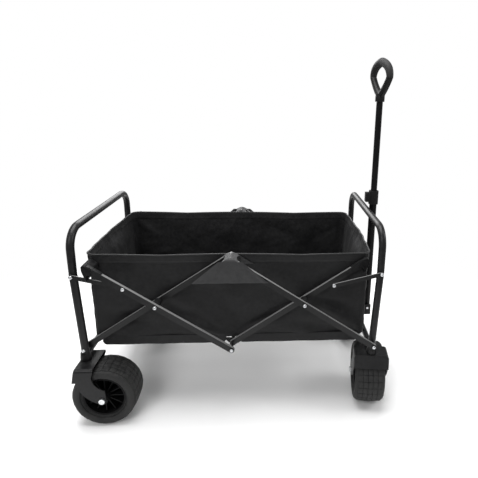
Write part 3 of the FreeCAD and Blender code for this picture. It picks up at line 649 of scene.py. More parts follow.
POCKET_CLOTH = Finish(
    "pocket_cloth", Skin.WEAVE, (0.0035, 0.0035, 0.0038), (0.007, 0.007, 0.0073), 0.5,
    specular=0.12, sheen=0.02, scale=900.0, bump=0.3, dust=0.10,
)
NODE_FINISHES: dict[str, Finish] = {
    "top_pins": LINK_PAINT,
    "rear_frame_pins": FRAME_PAINT,
    "front_frame_pins": FRAME_PAINT,
    "rear_middle_pins": LINK_PAINT,
    "front_middle_pins": LINK_PAINT,
}
SLOT_FINISHES: dict[str, Finish] = {
    "basket_cloth": TUB_CLOTH,
    "tyre_rubber": TYRE_RUBBER,
    "wheel_plastic": HUB_PLASTIC,
    "fork_steel": FORK_PAINT,
    "zinc_rivet": ZINC,
    "socket_plastic": MOULDED_PLASTIC,
    "black_plastic": MOULDED_PLASTIC,
    "collar_plastic": MOULDED_PLASTIC,
    "grip_plastic": GRIP_SHELL,
    "handle_tube": HANDLE_PAINT,
    "link_steel": LINK_PAINT,
    "frame_steel": FRAME_PAINT,
}


# ---------------------------------------------------------------- the fabric tub


@dataclass(frozen=True)
class Fold:
    """A pulled crease in a side wall, from one point to another.

    Attributes:
        start: The crease's start, along the cart and up.
        end: Its end.
        height: How far it stands out; below 0 it sinks in.
        width: Half its width.
    """

    start: tuple[float, float]
    end: tuple[float, float]
    height: float
    width: float

    def at(self, along: float, up: float) -> float:
        """Gives the crease's rise at a point of the wall."""
        run = Vector(self.end) - Vector(self.start)
        reach = Vector((along, up)) - Vector(self.start)
        share = min(max(reach.dot(run) / run.length_squared, 0.0), 1.0)
        gap = (reach - run * share).length
        fade = math.sin(math.pi * (0.12 + 0.76 * share))
        return self.height * bell(gap, self.width) * fade


SIDE_FOLDS = (
    Fold((-0.39, 0.46), (-0.27, 0.40), 0.0045, 0.013),
    Fold((-0.36, 0.33), (-0.24, 0.29), -0.0050, 0.018),
    Fold((-0.38, 0.29), (-0.30, 0.25), 0.0040, 0.012),
    Fold((-0.22, 0.42), (-0.06, 0.47), 0.0035, 0.020),
    Fold((-0.19, 0.36), (-0.05, 0.27), -0.0060, 0.016),
    Fold((-0.14, 0.31), (-0.02, 0.245), 0.0050, 0.010),
    Fold((-0.05, 0.40), (0.01, 0.31), -0.0045, 0.020),
    Fold((0.02, 0.25), (0.13, 0.31), 0.0060, 0.011),
    Fold((0.03, 0.27), (0.19, 0.35), -0.0055, 0.014),
    Fold((0.12, 0.43), (0.16, 0.47), 0.0030, 0.012),
    Fold((0.25, 0.37), (0.37, 0.33), -0.0060, 0.015),
    Fold((0.27, 0.35), (0.39, 0.28), 0.0045, 0.012),
    Fold((0.33, 0.43), (0.40, 0.49), -0.0060, 0.013),
    Fold((0.20, 0.29), (0.38, 0.25), -0.0040, 0.018),
)


@dataclass
class Tub:
    """The open cloth tub that hangs between the frames, with its hem, seams and floor boards.

    Attributes:
        finishes: The cart's finishes.
        cloth: The cloth's thickness.
        corner: The radius of the upright corners and of the floor's edge.
        corner_steps: Faces round a corner.
        cell: The size of the cloth's mesh cells before smoothing.
        hem: The depth of the turned hem.
        hem_proud: How far the hem stands off the cloth on each side.
        piping: The radius of the rim's piping.
        seam: The radius of the corner and floor seams.
        proud: The furthest that a crease may stand out, short of the inner links.
        bow: How far the end panels are drawn in at mid height.
        bulge: How far the rim of the ends swells out.
        board: The thickness of the floor boards.
        crush: The share of its length that the tub keeps when the cart is folded; not used.
        valance: How far the side panels' lower hem hangs under the floor.
        far_calm: The strength of the left side's creases against the right side's.
        depth: The strength of all the sides' creases.
        valance_spans: Where the lower hem runs, clear of the centre bar.
    """

    finishes: Finishes
    cloth: float = 0.0018
    corner: float = 0.020
    corner_steps: int = 4
    cell: float = 0.0125
    hem: float = 0.026
    hem_proud: float = 0.0006
    piping: float = 0.0027
    seam: float = 0.0016
    proud: float = 0.0024
    bow: float = 0.012
    bulge: float = 0.014
    board: float = 0.007
    crush: float = 0.362
    valance: float = 0.012
    far_calm: float = 0.3
    depth: float = 1.7
    valance_spans: tuple[tuple[float, float], ...] = ((-0.388, -0.020), (0.020, 0.388))
    nodes: tuple[str, ...] = (
        "basket_floor", "basket_right_side", "basket_left_side", "basket_rear_end", "basket_front_end",
    )

    def __post_init__(self) -> None:
        """Reads the tub's place from the frame."""
        boxes = [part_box(node) for node in self.nodes]
        self.low = Vector([min(box[0][axis] for box in boxes) for axis in range(3)])
        self.high = Vector([max(box[1][axis] for box in boxes) for axis in range(3)])
        self.middle = (self.low + self.high) / 2
        self.half = (self.high - self.low) / 2

    def build(self) -> None:
        """Builds every cloth piece of the tub and puts it on the rear frame."""
        cage = self._cage()
        self._crease(cage)
        hem = self._hem(cage)
        edging = self._lines(cage, "tub_rim_piping", "rim", self.piping)
        seams = self._lines(cage, "tub_corner_seams", "corner", self.seam)
        base = self._lines(cage, "tub_floor_seam", "base", self.seam)
        Bench.modify(cage, "SOLIDIFY", thickness=self.cloth, offset=-1.0, use_even_offset=True)
        Bench.smooth(cage, 50.0)
        boards = self._boards()
        valance = Bench.join(
            [self._valance(side, *span) for side in (-1.0, 1.0) for span in self.valance_spans],
            "tub_valance",
        )
        for piece, finish in (
            (cage, TUB_CLOTH), (hem, HEM_CLOTH), (edging, BINDING), (seams, BINDING), (base, BINDING),
            (boards, TUB_CLOTH), (valance, TUB_CLOTH),
        ):
            piece.vertex_groups.clear()
            self.finishes.dress(piece, finish)
            self._hang(piece)
            LOG.info("tub piece %s", piece.name)
        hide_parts(*self.nodes)

    def _hang(self, piece: bpy.types.Object) -> None:
        """Puts a cloth piece on the rear frame, with a mesh of its own."""
        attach(piece, "rear_frame")
        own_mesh(piece)

    def _cage(self) -> bpy.types.Object:
        """Builds the tub as one open sheet with round corners, ready for its creases.

        Returns:
            The sheet, with the seam lines kept as vertex groups.
        """
        Bench.clear()
        bpy.ops.mesh.primitive_cube_add(size=1.0, location=self.middle, scale=self.high - self.low)
        tub = Bench.taken("tub_cloth")
        Bench.edit(tub, Pick.FACE, lambda face: face.normal.z > 0.5)
        bpy.ops.mesh.delete(type="FACE")
        Bench.done()
        points = tub.data.vertices
        top = self.high.z - MERGE
        Bench.edit(
            tub, Pick.EDGE, lambda edge: not all(points[index].co.z > top for index in edge.vertices)
        )
        bpy.ops.mesh.bevel(offset=self.corner, segments=self.corner_steps, affect="EDGES")
        for axis in range(3):
            self._slice(axis)
        Bench.done()
        Bench.outwards(tub)
        Bench.edit(tub, Pick.FACE)
        Bench.done()
        Bench.subdivide(tub, 1)
        self._mark(tub)
        return tub

    def _slice(self, axis: int) -> None:
        """Cuts the open sheet into even cells across one axis, clear of the round corners."""
        low, high = self.low[axis] + self.corner, self.high[axis] - (self.corner if axis < 2 else 0.0)
        count = round((high - low) / self.cell)
        direction = [float(place == axis) for place in range(3)]
        for step in range(1, count):
            spot = [low + (high - low) * step / count if place == axis else 0.0 for place in range(3)]
            bpy.ops.mesh.select_all(action="SELECT")
            bpy.ops.mesh.bisect(plane_co=spot, plane_no=direction)

    def _mark(self, tub: bpy.types.Object) -> None:
        """Keeps the rim, the corner lines and the floor's edge as vertex groups."""
        groups = {name: tub.vertex_groups.new(name=name) for name in ("rim", "corner", "base")}
        inset = self.corner * (1.0 - math.sqrt(0.5))
        near = self.corner * 0.12
        top = max(vertex.co.z for vertex in tub.data.vertices)
        for vertex in tub.data.vertices:
            gap = [self.half[axis] - abs(vertex.co[axis] - self.middle[axis]) for axis in range(3)]
            if vertex.co.z > top - MERGE:
                groups["rim"].add([vertex.index], 1.0, "REPLACE")
            if abs(gap[0] - inset) < near and abs(gap[1] - inset) < near and vertex.co.z > self.low.z + self.corner:
                groups["corner"].add([vertex.index], 1.0, "REPLACE")
            edge = min(gap[0], gap[1])
            if abs(edge - inset) < near and vertex.co.z < self.low.z + inset + near:
                groups["base"].add([vertex.index], 1.0, "REPLACE")

    def _crease(self, tub: bpy.types.Object) -> None:
        """Moves the sheet into the shape of hung, creased cloth."""
        tub.data.update()
        shifts = [self._shift(vertex.co, vertex.normal) for vertex in tub.data.vertices]
        for vertex, shift in zip(tub.data.vertices, shifts):
            vertex.co += shift
        tub.data.update()

    def _shift(self, place: Vector, facing: Vector) -> Vector:
        """Gives the move of one point of the cloth.

        Args:
            place: Where the point is on the flat-walled tub.
            facing: The outward direction there.

        Returns:
            The move.
        """
        up = (place.z - self.low.z) / (self.high.z - self.low.z)
        along = (place.x - self.middle.x) / self.half.x
        across = (place.y - self.middle.y) / self.half.y
        side = abs(facing.y) > abs(facing.x) and abs(facing.y) > 0.5
        end = abs(facing.x) > abs(facing.y) and abs(facing.x) > 0.5
        taut = smoothstep(0.0, 0.12, 1.0 - up)
        move = Vector((0.0, 0.0, 0.0))
        ripple = noise.noise(place * 17.0) * 0.0026 + noise.noise(place * 46.0 + Vector((3.0, 1.0, 7.0))) * 0.0011
        if side:
            mirrored = place.x if facing.y < 0.0 else -place.x
            folds = sum(fold.at(mirrored, place.z) for fold in SIDE_FOLDS)
            folds *= self.far_calm if facing.y > 0.0 else 1.0
            hollow = -0.005 * math.sin(math.pi * up) * (1.0 - along * along)
            rise = (self.depth * folds + ripple + hollow) * smoothstep(0.0, 0.1, 1.0 - abs(along)) * (0.25 + 0.75 * taut)
            move.y += math.copysign(min(rise, self.proud), facing.y) if rise > 0 else rise * math.copysign(1, facing.y)
        if end:
            sway = (1.0 - across * across)
            drawn = -self.bow * math.sin(math.pi * min(up * 1.05, 1.0)) * sway
            swell = self.bulge * smoothstep(0.72, 1.0, up) * sway
            gathers = 0.0016 * math.sin(across * 19.0) * smoothstep(0.35, 0.95, up) * (1.0 - up * 0.6)
            move.x += math.copysign(1.0, facing.x) * (drawn + swell + gathers + ripple)
        if up > 0.5:
            sag = 0.004 * (1.0 - abs(math.cos(math.pi * along))) if abs(across) > 0.9 else 0.006 * (1.0 - across**2)
            move.z -= sag * smoothstep(0.5, 1.0, up)
        if facing.z < -0.5:
            move.z += 0.5 * abs(ripple)
        return move

    def _hem(self, tub: bpy.types.Object) -> bpy.types.Object:
        """Builds the turned hem: a band that wraps the cloth below the rim."""
        hem = Bench.copy(tub, "tub_hem")
        edge = self.high.z - self.hem
        Bench.edit(hem, Pick.FACE, lambda face: face.center.z < edge)
        bpy.ops.mesh.delete(type="FACE")
        Bench.done()
        thickness = self.cloth + 2.0 * self.hem_proud
        for vertex in hem.data.vertices:
            vertex.co += vertex.normal * self.hem_proud
        Bench.modify(hem, "SOLIDIFY", thickness=thickness, offset=-1.0, use_even_offset=True)
        Bench.modify(hem, "BEVEL", width=self.hem_proud, segments=2, limit_method="ANGLE")
        Bench.smooth(hem, 50.0)
        return hem

    def _lines(self, tub: bpy.types.Object, name: str, group: str, radius: float) -> bpy.types.Object:
        """Builds piping along a line that was kept as a vertex group.

        Args:
            tub: The sheet.
            name: The piping's name.
            group: The vertex group.
            radius: The piping's radius.

        Returns:
            The piping.
        """
        line = Bench.copy(tub, name)
        index = line.vertex_groups[group].index
        kept = {
            vertex.index for vertex in line.data.vertices if any(part.group == index for part in vertex.groups)
        }
        Bench.edit(line, Pick.VERTEX, lambda vertex: vertex.index not in kept)
        bpy.ops.mesh.delete(type="VERT")
        bpy.ops.mesh.select_all(action="SELECT")
        bpy.ops.mesh.delete(type="ONLY_FACE")
        Bench.done()
        piping = Bench.tube(line, radius, name)
        Bench.smooth(piping, 60.0)
        return piping

    def _valance(self, side: float, start: float, finish: float) -> bpy.types.Object:
        """Builds a stretch of the side panel's lower hem.

        Args:
            side: -1 or +1: which side of the cart.
            start: Where it starts along the cart.
            finish: Where it ends.

        Returns:
            The hem, hanging a little wavy.
        """
        Bench.clear()
        bpy.ops.mesh.primitive_grid_add(x_subdivisions=72, y_subdivisions=6, size=1.0)
        hem = Bench.taken("valance")
        top = self.low.z + self.corner * 0.8
        foot = self.low.z - self.valance
        for vertex in hem.data.vertices:
            share, rise = vertex.co.x + 0.5, vertex.co.y + 0.5
            x = start + (finish - start) * share
            ends = smoothstep(0.0, 0.02, share) * smoothstep(0.0, 0.02, 1.0 - share)
            z = foot + (top - foot) * (rise * ends + (1.0 - ends) * (0.35 + 0.65 * rise))
            wave = 0.0007 * math.sin(x * 55.0) * (1.0 - rise)
            vertex.co = Vector((x, side * (self.half.y - 0.0012 + wave), z))
        Bench.modify(hem, "SOLIDIFY", thickness=self.cloth * 1.4, offset=0.0)
        Bench.outwards(hem)
        Bench.smooth(hem, 50.0)
        return hem

    def _boards(self) -> bpy.types.Object:
        """Builds the cloth-covered floor boards, hinged by three sewn channels."""
        gap = 0.008
        size = Vector((2 * (self.half.x - self.corner), 2 * (self.half.y - gap), self.board))
        base = self.low.z + self.cloth * 2 + 0.004
        Bench.clear()
        bpy.ops.mesh.primitive_cube_add(
            size=1.0, location=(self.middle.x, self.middle.y, base + size.z / 2), scale=size
        )
        boards = Bench.taken("tub_floor_boards")
        channels = [self.middle.x + size.x * share for share in (-0.25, 0.0, 0.25)]
        reach = 0.009
        Bench.edit(boards, Pick.FACE)
        bpy.ops.mesh.bevel(offset=self.board * 0.4, segments=2, affect="EDGES")
        for channel in channels:
            for spot in (channel - reach, channel - reach * 0.4, channel, channel + reach * 0.4, channel + reach):
                bpy.ops.mesh.select_all(action="SELECT")
                bpy.ops.mesh.bisect(plane_co=(spot, 0.0, 0.0), plane_no=(1.0, 0.0, 0.0))
        Bench.done()
        for vertex in boards.data.vertices:
            nearest = min(abs(vertex.co.x - channel) for channel in channels)
            if vertex.co.z > base + size.z / 2:
                vertex.co.z -= self.board * 0.55 * bell(nearest, reach * 0.6)
        Bench.smooth(boards, 40.0)
        return boards


# ---------------------------------------------------------------- flaps and corner pockets


@dataclass
class CentreFlap:
    """The cloth flap that wraps the links' top pivot on one side of the tub.

    Attributes:
        finishes: The cart's finishes.
        side: -1 or +1: which side of the cart.
        half_width: Half the flap's lower edge.
        peak_width: Half its width at the top fold.
        foot: The height of its lower edge.
        clear: How far it stands off the pivot's rivet head.
        thickness: The cloth's thickness.
        columns: Cells across.
        rows: Cells from back to front.
    """

    finishes: Finishes
    side: int
    half_width: float = 0.108
    peak_width: float = 0.017
    foot: float = 0.4515
    clear: float = 0.0016
    thickness: float = 0.0014
    columns: int = 44
    rows: int = 34
    back_drop: float = 0.030

    def build(self) -> None:
        """Builds the flap and blends it over the pivot."""
        pivot = next(joint for joint in frame["joints"] if joint["name"] == "top_pivot")
        low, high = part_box("top_pins")
        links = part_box("front_foot_links")
        outer = max(abs(low[1]), abs(high[1])) + self.clear
        inner = abs(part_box("basket_right_side")[0][1]) + self.clear
        crown = links[1][2] + self.clear + 0.0015
        top = pivot["pos_m"][2]
        Bench.clear()
        bpy.ops.mesh.primitive_grid_add(x_subdivisions=self.columns, y_subdivisions=self.rows, size=1.0)
        flap = Bench.taken("centre_flap_right" if self.side < 0 else "centre_flap_left")
        for vertex in flap.data.vertices:
            vertex.co = self._place(vertex.co.x * 2.0, vertex.co.y + 0.5, inner, outer, crown, top)
        Bench.outwards(flap)
        Bench.modify(flap, "SOLIDIFY", thickness=self.thickness, offset=0.0)
        Bench.outwards(flap)
        Bench.smooth(flap, 50.0)
        self.finishes.dress(flap, FLAP_CLOTH)
        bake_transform(flap)
        LOG.info("flap %s", flap.name)

    def _place(self, along: float, down: float, inner: float, outer: float, crown: float, top: float) -> Vector:
        """Lays one point of the flat sheet over the pivot.

        Args:
            along: -1 to 1 across the flap.
            down: 0 at the back edge, 1 at the front's lower edge.
            inner: The distance of its back from the middle.
            outer: The distance of its front from the middle.
            crown: The height of its top fold.
            top: The pivot's height.

        Returns:
            Where the point lies.
        """
        radius = (outer - inner) / 2
        arc = math.pi * radius * 0.72
        back = self.back_drop
        front = crown - radius * 0.45 - self.foot
        run = down * (back + arc + front)
        if run < back:
            depth, height = inner, crown - radius * 0.45 - (back - run)
        elif run < back + arc:
            turn = math.pi * (run - back) / arc
            depth = inner + radius * (1.0 - math.cos(turn))
            height = crown - radius * 0.45 + radius * 0.45 * math.sin(turn)
        else:
            depth, height = outer, crown - radius * 0.45 - (run - back - arc)
        fall = min(max((crown - height) / (crown - self.foot), 0.0), 1.0)
        width = self.peak_width + (self.half_width - self.peak_width) * fall
        x = along * width
        slant = (top - 0.232) / 0.430
        link_top = crown - abs(x) * slant
        if run < back + arc and height > link_top:
            height = link_top
        puff = 0.0014 * math.sin(along * 6.5 + 0.6) * fall + 0.0010 * noise.noise(Vector((x * 40, 2.0, height * 40)))
        pinch = 0.0022 * bell(abs(along) - 0.93, 0.06) * fall
        return Vector((x, self.side * (depth + (abs(puff) + pinch) * (run > back + arc)), height))


@dataclass
class BarLoop:
    """The cloth loop that hangs the bottom centre bar's end from the tub on one side.

    Attributes:
        finishes: The cart's finishes.
        side: -1 or +1: which side of the cart.
        top_half: Half its width at the tub.
        foot_half: Half its width under the bar.
        thickness: The cloth's thickness.
    """

    finishes: Finishes
    side: int
    top_half: float = 0.026
    foot_half: float = 0.0095
    thickness: float = 0.0014

    def build(self) -> None:
        """Builds the loop and puts it on the bar's body."""
        low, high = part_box("bottom_centre_bar")
        centre = [(low[axis] + high[axis]) / 2 for axis in range(3)]
        foot = low[2] - self.thickness
        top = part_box("basket_floor")[0][2] + 0.004
        inner = abs(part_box("basket_right_side")[0][1]) - 0.0015
        Bench.clear()
        bpy.ops.mesh.primitive_grid_add(x_subdivisions=20, y_subdivisions=10, size=1.0)
        loop = Bench.taken("bar_loop_right" if self.side < 0 else "bar_loop_left")
        for vertex in loop.data.vertices:
            across, rise = 2.0 * vertex.co.x, vertex.co.y + 0.5
            half = self.foot_half + (self.top_half - self.foot_half) * rise**0.8
            sway = 0.0006 * math.sin(9.0 * across + 4.0 * rise)
            vertex.co = Vector((
                centre[0] + across * half, self.side * (inner + sway), foot + (top - foot) * rise,
            ))
        Bench.modify(loop, "SOLIDIFY", thickness=self.thickness, offset=0.0)
        Bench.outwards(loop)
        Bench.smooth(loop, 50.0)
        self.finishes.dress(loop, TUB_CLOTH)
        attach(loop, "rear_corner_link_pair")
        LOG.info("loop %s", loop.name)


@dataclass
class CornerPocket:
    """The cloth pocket that slips over a corner link's end and carries the tub's rim.

    Attributes:
        finishes: The cart's finishes.
        end: "rear" or "front".
        side: -1 or +1: which side of the cart.
        length: Its length along the cart.
        depth: Its height before its tip is pulled down.
        fall: How far its tip hangs.
        wall: How far it stands off the cap.
        thickness: The cloth's thickness.
    """

    finishes: Finishes
    end: str
    side: int
    length: float = 0.026
    depth: float = 0.024
    fall: float = 0.022
    wall: float = 0.0012
    thickness: float = 0.0014

    def build(self) -> None:
        """Builds the pocket and puts it on the link."""
        caps = frame["nodes"][f"{self.end}_corner_caps"].data.vertices
        mine = [vertex.co for vertex in caps if vertex.co.y * self.side > 0.0]
        low = Vector([min(point[axis] for point in mine) for axis in range(3)])
        high = Vector([max(point[axis] for point in mine) for axis in range(3)])
        outward = -1.0 if self.end == "rear" else 1.0
        tip = Vector((low.x if outward < 0 else high.x, 0.0, high.z))
        edge = abs(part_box("basket_right_side")[0][1])
        near, far = edge + 0.0008, max(abs(low.y), abs(high.y)) + self.wall
        Bench.clear()
        bpy.ops.mesh.primitive_cube_add(
            size=1.0,
            location=(tip.x - outward * 0.010, self.side * (near + far) / 2, tip.z - self.depth * 0.38),
            scale=(self.length, far - near, self.depth),
        )
        name = f"{self.end}_{'right' if self.side < 0 else 'left'}_corner_pocket"
        pocket = Bench.taken(name)
        Bench.edit(pocket, Pick.FACE)
        bpy.ops.mesh.subdivide(number_cuts=5)
        Bench.done()
        for vertex in pocket.data.vertices:
            vertex.co = self._drape(vertex.co, tip, outward)
        Bench.edit(pocket, Pick.FACE, lambda face: face.normal.z < -0.6 and face.center.z < tip.z - self.depth * 0.6)
        bpy.ops.mesh.delete(type="FACE")
        Bench.done()
        Bench.modify(pocket, "SOLIDIFY", thickness=self.thickness, offset=1.0)
        Bench.subdivide(pocket, 2)
        Bench.outwards(pocket)
        Bench.smooth(pocket, 50.0)
        self.finishes.dress(pocket, POCKET_CLOTH)
        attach(pocket, f"{self.end}_corner_link_pair")
        LOG.info("pocket %s", name)

    def _drape(self, place: Vector, tip: Vector, outward: float) -> Vector:
        """Shapes one point of the pocket: a leaning hood with a hanging tip."""
        away = ((place.x - tip.x) * outward + 0.010) / self.length + 0.5
        below = (tip.z + self.depth * 0.12 - place.z) / self.depth
        moved = place.copy()
        moved.z -= self.fall * smoothstep(0.35, 0.9, away) * smoothstep(0.4, 1.0, below)
        moved.z -= 0.012 * smoothstep(0.7, 0.0, away) * (1.0 - 0.4 * below)
        moved.z -= 0.005 * smoothstep(0.75, 1.0, away) * (1.0 - below)
        moved.x -= outward * 0.012 * smoothstep(0.5, 1.0, below) * smoothstep(0.5, 1.0, away)
        moved.y += 0.0009 * math.sin(place.x * 260.0 + place.z * 190.0)
        return moved


# ---------------------------------------------------------------- wheels


@dataclass
class Tyre:
    """A broad block-tread tyre, modelled once and copied to the four wheels.

    Attributes:
        finishes: The cart's finishes.
        steps: Tread rows round the tyre.
        columns: Block columns across the tread.
        tread: The depth of the tread grooves.
        groove: Half the width of a groove.
        crown: The share of the tyre's width that carries tread.
        camber: How far the crown falls to its edges.
        lip: The height of the bead over the wheel's rim.
        round_steps: Faces round a shoulder.
    """

    finishes: Finishes
    steps: int = 28
    columns: int = 5
    tread: float = 0.0022
    groove: float = 0.0006
    crown: float = 0.82
    camber: float = 0.0026
    lip: float = 0.0045
    round_steps: int = 9
    places: tuple[str, ...] = ("rear_right", "rear_left", "front_right", "front_left")

    def build(self) -> None:
        """Builds the tyre and puts a copy on each wheel."""
        pattern = self._pattern()
        for place in self.places:
            joint = next(item for item in frame["joints"] if item["name"] == f"{place}_wheel_spin")
            turn = Vector((0.0, 1.0, 0.0)).rotation_difference(Vector(joint["axis"])).to_matrix().to_4x4()
            tyre = Bench.copy(pattern, f"{place}_block_tyre", Matrix.Translation(joint["pos_m"]) @ turn)
            self.finishes.dress(tyre, TYRE_RUBBER)
            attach(tyre, f"{place}_wheel_body")
            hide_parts(f"{place}_tyre")
            LOG.info("tyre %s", tyre.name)
        bpy.data.objects.remove(pattern)

    def _section(self, radius: float, bore: float, half: float) -> list[tuple[float, float]]:
        """Gives the outline of the tyre's section, as radius and width pairs.

        Args:
            radius: The tread's outer radius.
            bore: The radius at the rim.
            half: Half the tyre's width.

        Returns:
            The outline, closed.
        """
        floor = radius - self.tread
        flat = half * self.crown
        crown = []
        for step in range(self.columns + 1):
            spot = -1.0 + 2.0 * step / self.columns
            crown.append((floor - self.camber * abs(spot) ** 2.2, flat * spot))
        shoulder = floor - self.camber
        belly = bore + self.lip
        right = []
        for step in range(1, self.round_steps + 1):
            turn = math.pi * step / self.round_steps
            reach = (shoulder + belly) / 2 + (shoulder - belly) / 2 * math.cos(turn)
            right.append((reach, flat + (half - flat) * math.sin(turn) ** 0.8 + (half * 0.05) * step / self.round_steps))
        seat = half * 0.80
        right += [(belly - self.lip * 0.25, seat + 0.0042), (bore, seat)]
        left = [(spot, -width) for spot, width in reversed(right)]
        return crown + right + [(bore - 0.0006, 0.0)] + left

    def _pattern(self) -> bpy.types.Object:
        """Builds one tyre round the cart's cross axis at the origin."""
        bore, radius, half = self._sizes()
        outline = self._section(radius, bore, half)
        Bench.clear()
        bpy.ops.mesh.primitive_circle_add(vertices=len(outline), radius=radius, fill_type="NOTHING")
        tyre = Bench.taken("tyre_pattern")
        for vertex, (reach, width) in zip(tyre.data.vertices, outline):
            vertex.co = Vector((reach, width, 0.0))
        Bench.edit(tyre, Pick.VERTEX)
        bpy.ops.mesh.spin(steps=self.steps, angle=math.tau, center=(0, 0, 0), axis=(0, 1, 0))
        Bench.done()
        Bench.outwards(tyre)
        flat = half * self.crown
        limit = radius - self.tread - self.camber - MERGE

        def on_tread(face: bpy.types.MeshPolygon) -> bool:
            """Says whether a face lies on the crown."""
            reach = math.hypot(face.center.x, face.center.z)
            return abs(face.center.y) < flat and reach > limit

        Bench.edit(tyre, Pick.FACE, on_tread)
        bpy.ops.mesh.inset(thickness=self.groove, depth=self.tread, use_individual=True)
        bpy.ops.mesh.inset(thickness=self.groove * 0.5, depth=self.groove * 0.3, use_individual=True)
        Bench.done()
        Bench.smooth(tyre, 32.0)
        return tyre

    def _sizes(self) -> tuple[float, float, float]:
        """Reads the tyre's bore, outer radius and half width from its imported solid."""
        joint = next(item for item in frame["joints"] if item["name"] == f"{self.places[0]}_wheel_spin")
        centre, axis = Vector(joint["pos_m"]), Vector(joint["axis"])
        reaches, widths = [], []
        for vertex in frame["nodes"][f"{self.places[0]}_tyre"].data.vertices:
            arm = vertex.co - centre
            widths.append(abs(arm.dot(axis)))
            reaches.append((arm - axis * arm.dot(axis)).length)
        return min(reaches), max(reaches), max(widths)


# ---------------------------------------------------------------- rivets and boots


@dataclass
class Rivets:
    """Domed rivet heads on the visible ends of the scissor's pins, joined body by body.

    Attributes:
        finishes: The cart's finishes.
        radius: A dome's radius.
        height: Its height.
        strut_end: The distance from a strut's box to its eye.
    """

    finishes: Finishes
    radius: float = 0.0053
    height: float = 0.0024
    strut_end: float = 0.006

    def build(self) -> None:
        """Builds one dome and sets copies of it on every pin end."""
        dome = self._dome()
        for body, spots in self._spots().items():
            heads = []
            for spot in spots:
                for side in (-1.0, 1.0):
                    turn = Matrix.Diagonal((1.0, side, 1.0, 1.0))
                    place = Matrix.Translation((spot[0], side * spot[1], spot[2]))
                    heads.append(Bench.copy(dome, "rivet_head", place @ turn))
            piece = Bench.join(heads, f"{body}_rivet_heads")
            Bench.smooth(piece, 50.0)
            self.finishes.dress(piece, ZINC)
            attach(piece, body)
            LOG.info("rivets on %s", body)
        bpy.data.objects.remove(dome)

    def _dome(self) -> bpy.types.Object:
        """Builds one dome whose flat back faces the middle plane at y = 0."""
        Bench.clear()
        bpy.ops.mesh.primitive_uv_sphere_add(segments=28, ring_count=14, radius=1.0)
        dome = Bench.taken("rivet_dome")
        Bench.edit(dome, Pick.FACE)
        bpy.ops.mesh.bisect(plane_co=(0, 0.35, 0), plane_no=(0, 1, 0), clear_inner=True, use_fill=True)
        Bench.done()
        rim = math.sqrt(1.0 - 0.35**2)
        for vertex in dome.data.vertices:
            vertex.co.x *= self.radius / rim
            vertex.co.z *= self.radius / rim
            vertex.co.y = (vertex.co.y - 0.35) / 0.65 * self.height
        Bench.outwards(dome)
        return dome

    def _spots(self) -> dict[str, list[Triple]]:
        """Gives each body's dome places: along, out from the middle plane, and up."""
        joints = {joint["name"]: Vector(joint["pos_m"]) for joint in frame["joints"] if "pos_m" in joint}
        spots: dict[str, list[Triple]] = {}
        for end, way in (("rear", -1.0), ("front", 1.0)):
            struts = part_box(f"{end}_struts")
            eye_x = (struts[1][0] - self.strut_end) if way < 0 else (struts[0][0] + self.strut_end)
            eye = Vector((eye_x, 0.0, struts[0][2] + self.strut_end))
            pins = frame["nodes"][f"{end}_frame_pins"].data.vertices
            foot = joints["fold"] if end == "rear" else joints["front_foot_pivot"]
            strut = joints[f"{end}_strut_pivot"]
            centre = joints[f"{end}_middle_pivot"]
            for body, spot, reach in (
                (f"{end}_frame", foot, self._reach(pins, foot)),
                (f"{end}_frame", strut, self._reach(pins, strut)),
                (f"{end}_foot_link_pair", centre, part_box(f"{end}_middle_pins")[1][1]),
            ):
                spots.setdefault(body, []).append((spot.x, reach, spot.z))
            if end == "rear":
                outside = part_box("rear_corner_links")[1][1]
                spots["rear_corner_link_pair"] = [(eye.x, outside, eye.z)]
            else:
                spots["front_strut_pair"] = [(eye.x, struts[1][1], eye.z)]
        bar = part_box("bottom_centre_bar")
        middle = [(bar[0][axis] + bar[1][axis]) / 2 for axis in range(3)]
        spots["rear_corner_link_pair"].append((middle[0], bar[1][1], middle[2]))
        return spots

    @staticmethod
    def _reach(points: Iterable[bpy.types.MeshVertex], pivot: Vector) -> float:
        """Gives how far a pin near a pivot reaches out from the middle plane."""
        near = 0.012
        return max(
            vertex.co.y for vertex in points
            if math.hypot(vertex.co.x - pivot.x, vertex.co.z - pivot.z) < near
        )


@dataclass
class PostBoots:
    """The moulded boots at the feet of the posts, just over the casters' plates.

    Attributes:
        finishes: The cart's finishes.
        foot: A boot's radius at its foot.
        top: Its radius at its top.
        height: Its height.
    """

    finishes: Finishes
    foot: float = 0.0158
    top: float = 0.0134
    height: float = 0.0195

    def build(self) -> None:
        """Builds the boots and joins them in a pair on each frame."""
        for end, way in (("rear", -1.0), ("front", 1.0)):
            low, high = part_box(f"{end}_caster_kingpins")
            x = (low[0] + high[0]) / 2
            base = high[2] + 0.0004
            y = high[1] - (high[0] - low[0]) / 2
            boots = [self._boot(x, side * y, base, way) for side in (-1.0, 1.0)]
            piece = Bench.join(boots, f"{end}_post_boots")
            self.finishes.dress(piece, MOULDED_PLASTIC)
            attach(piece, f"{end}_frame")
            LOG.info("boots on the %s frame", end)

    def _boot(self, x: float, y: float, base: float, way: float) -> bpy.types.Object:
        """Builds one boot, leaning with its post."""
        Bench.clear()
        bpy.ops.mesh.primitive_cone_add(
            vertices=40, radius1=self.foot, radius2=self.top, depth=self.height,
            location=(x, y, base + self.height / 2),
        )
        boot = Bench.taken("post_boot")
        Bench.edit(boot, Pick.FACE, lambda face: face.normal.z > 0.9)
        bpy.ops.mesh.inset(thickness=0.0016, depth=-0.0012)
        Bench.done()
        for vertex in boot.data.vertices:
            vertex.co.x += way * 0.048 * (vertex.co.z - base)
        Bench.modify(boot, "BEVEL", width=0.0012, segments=3, limit_method="ANGLE")
        Bench.smooth(boot, 40.0)
        return boot


# ---------------------------------------------------------------- handle grip


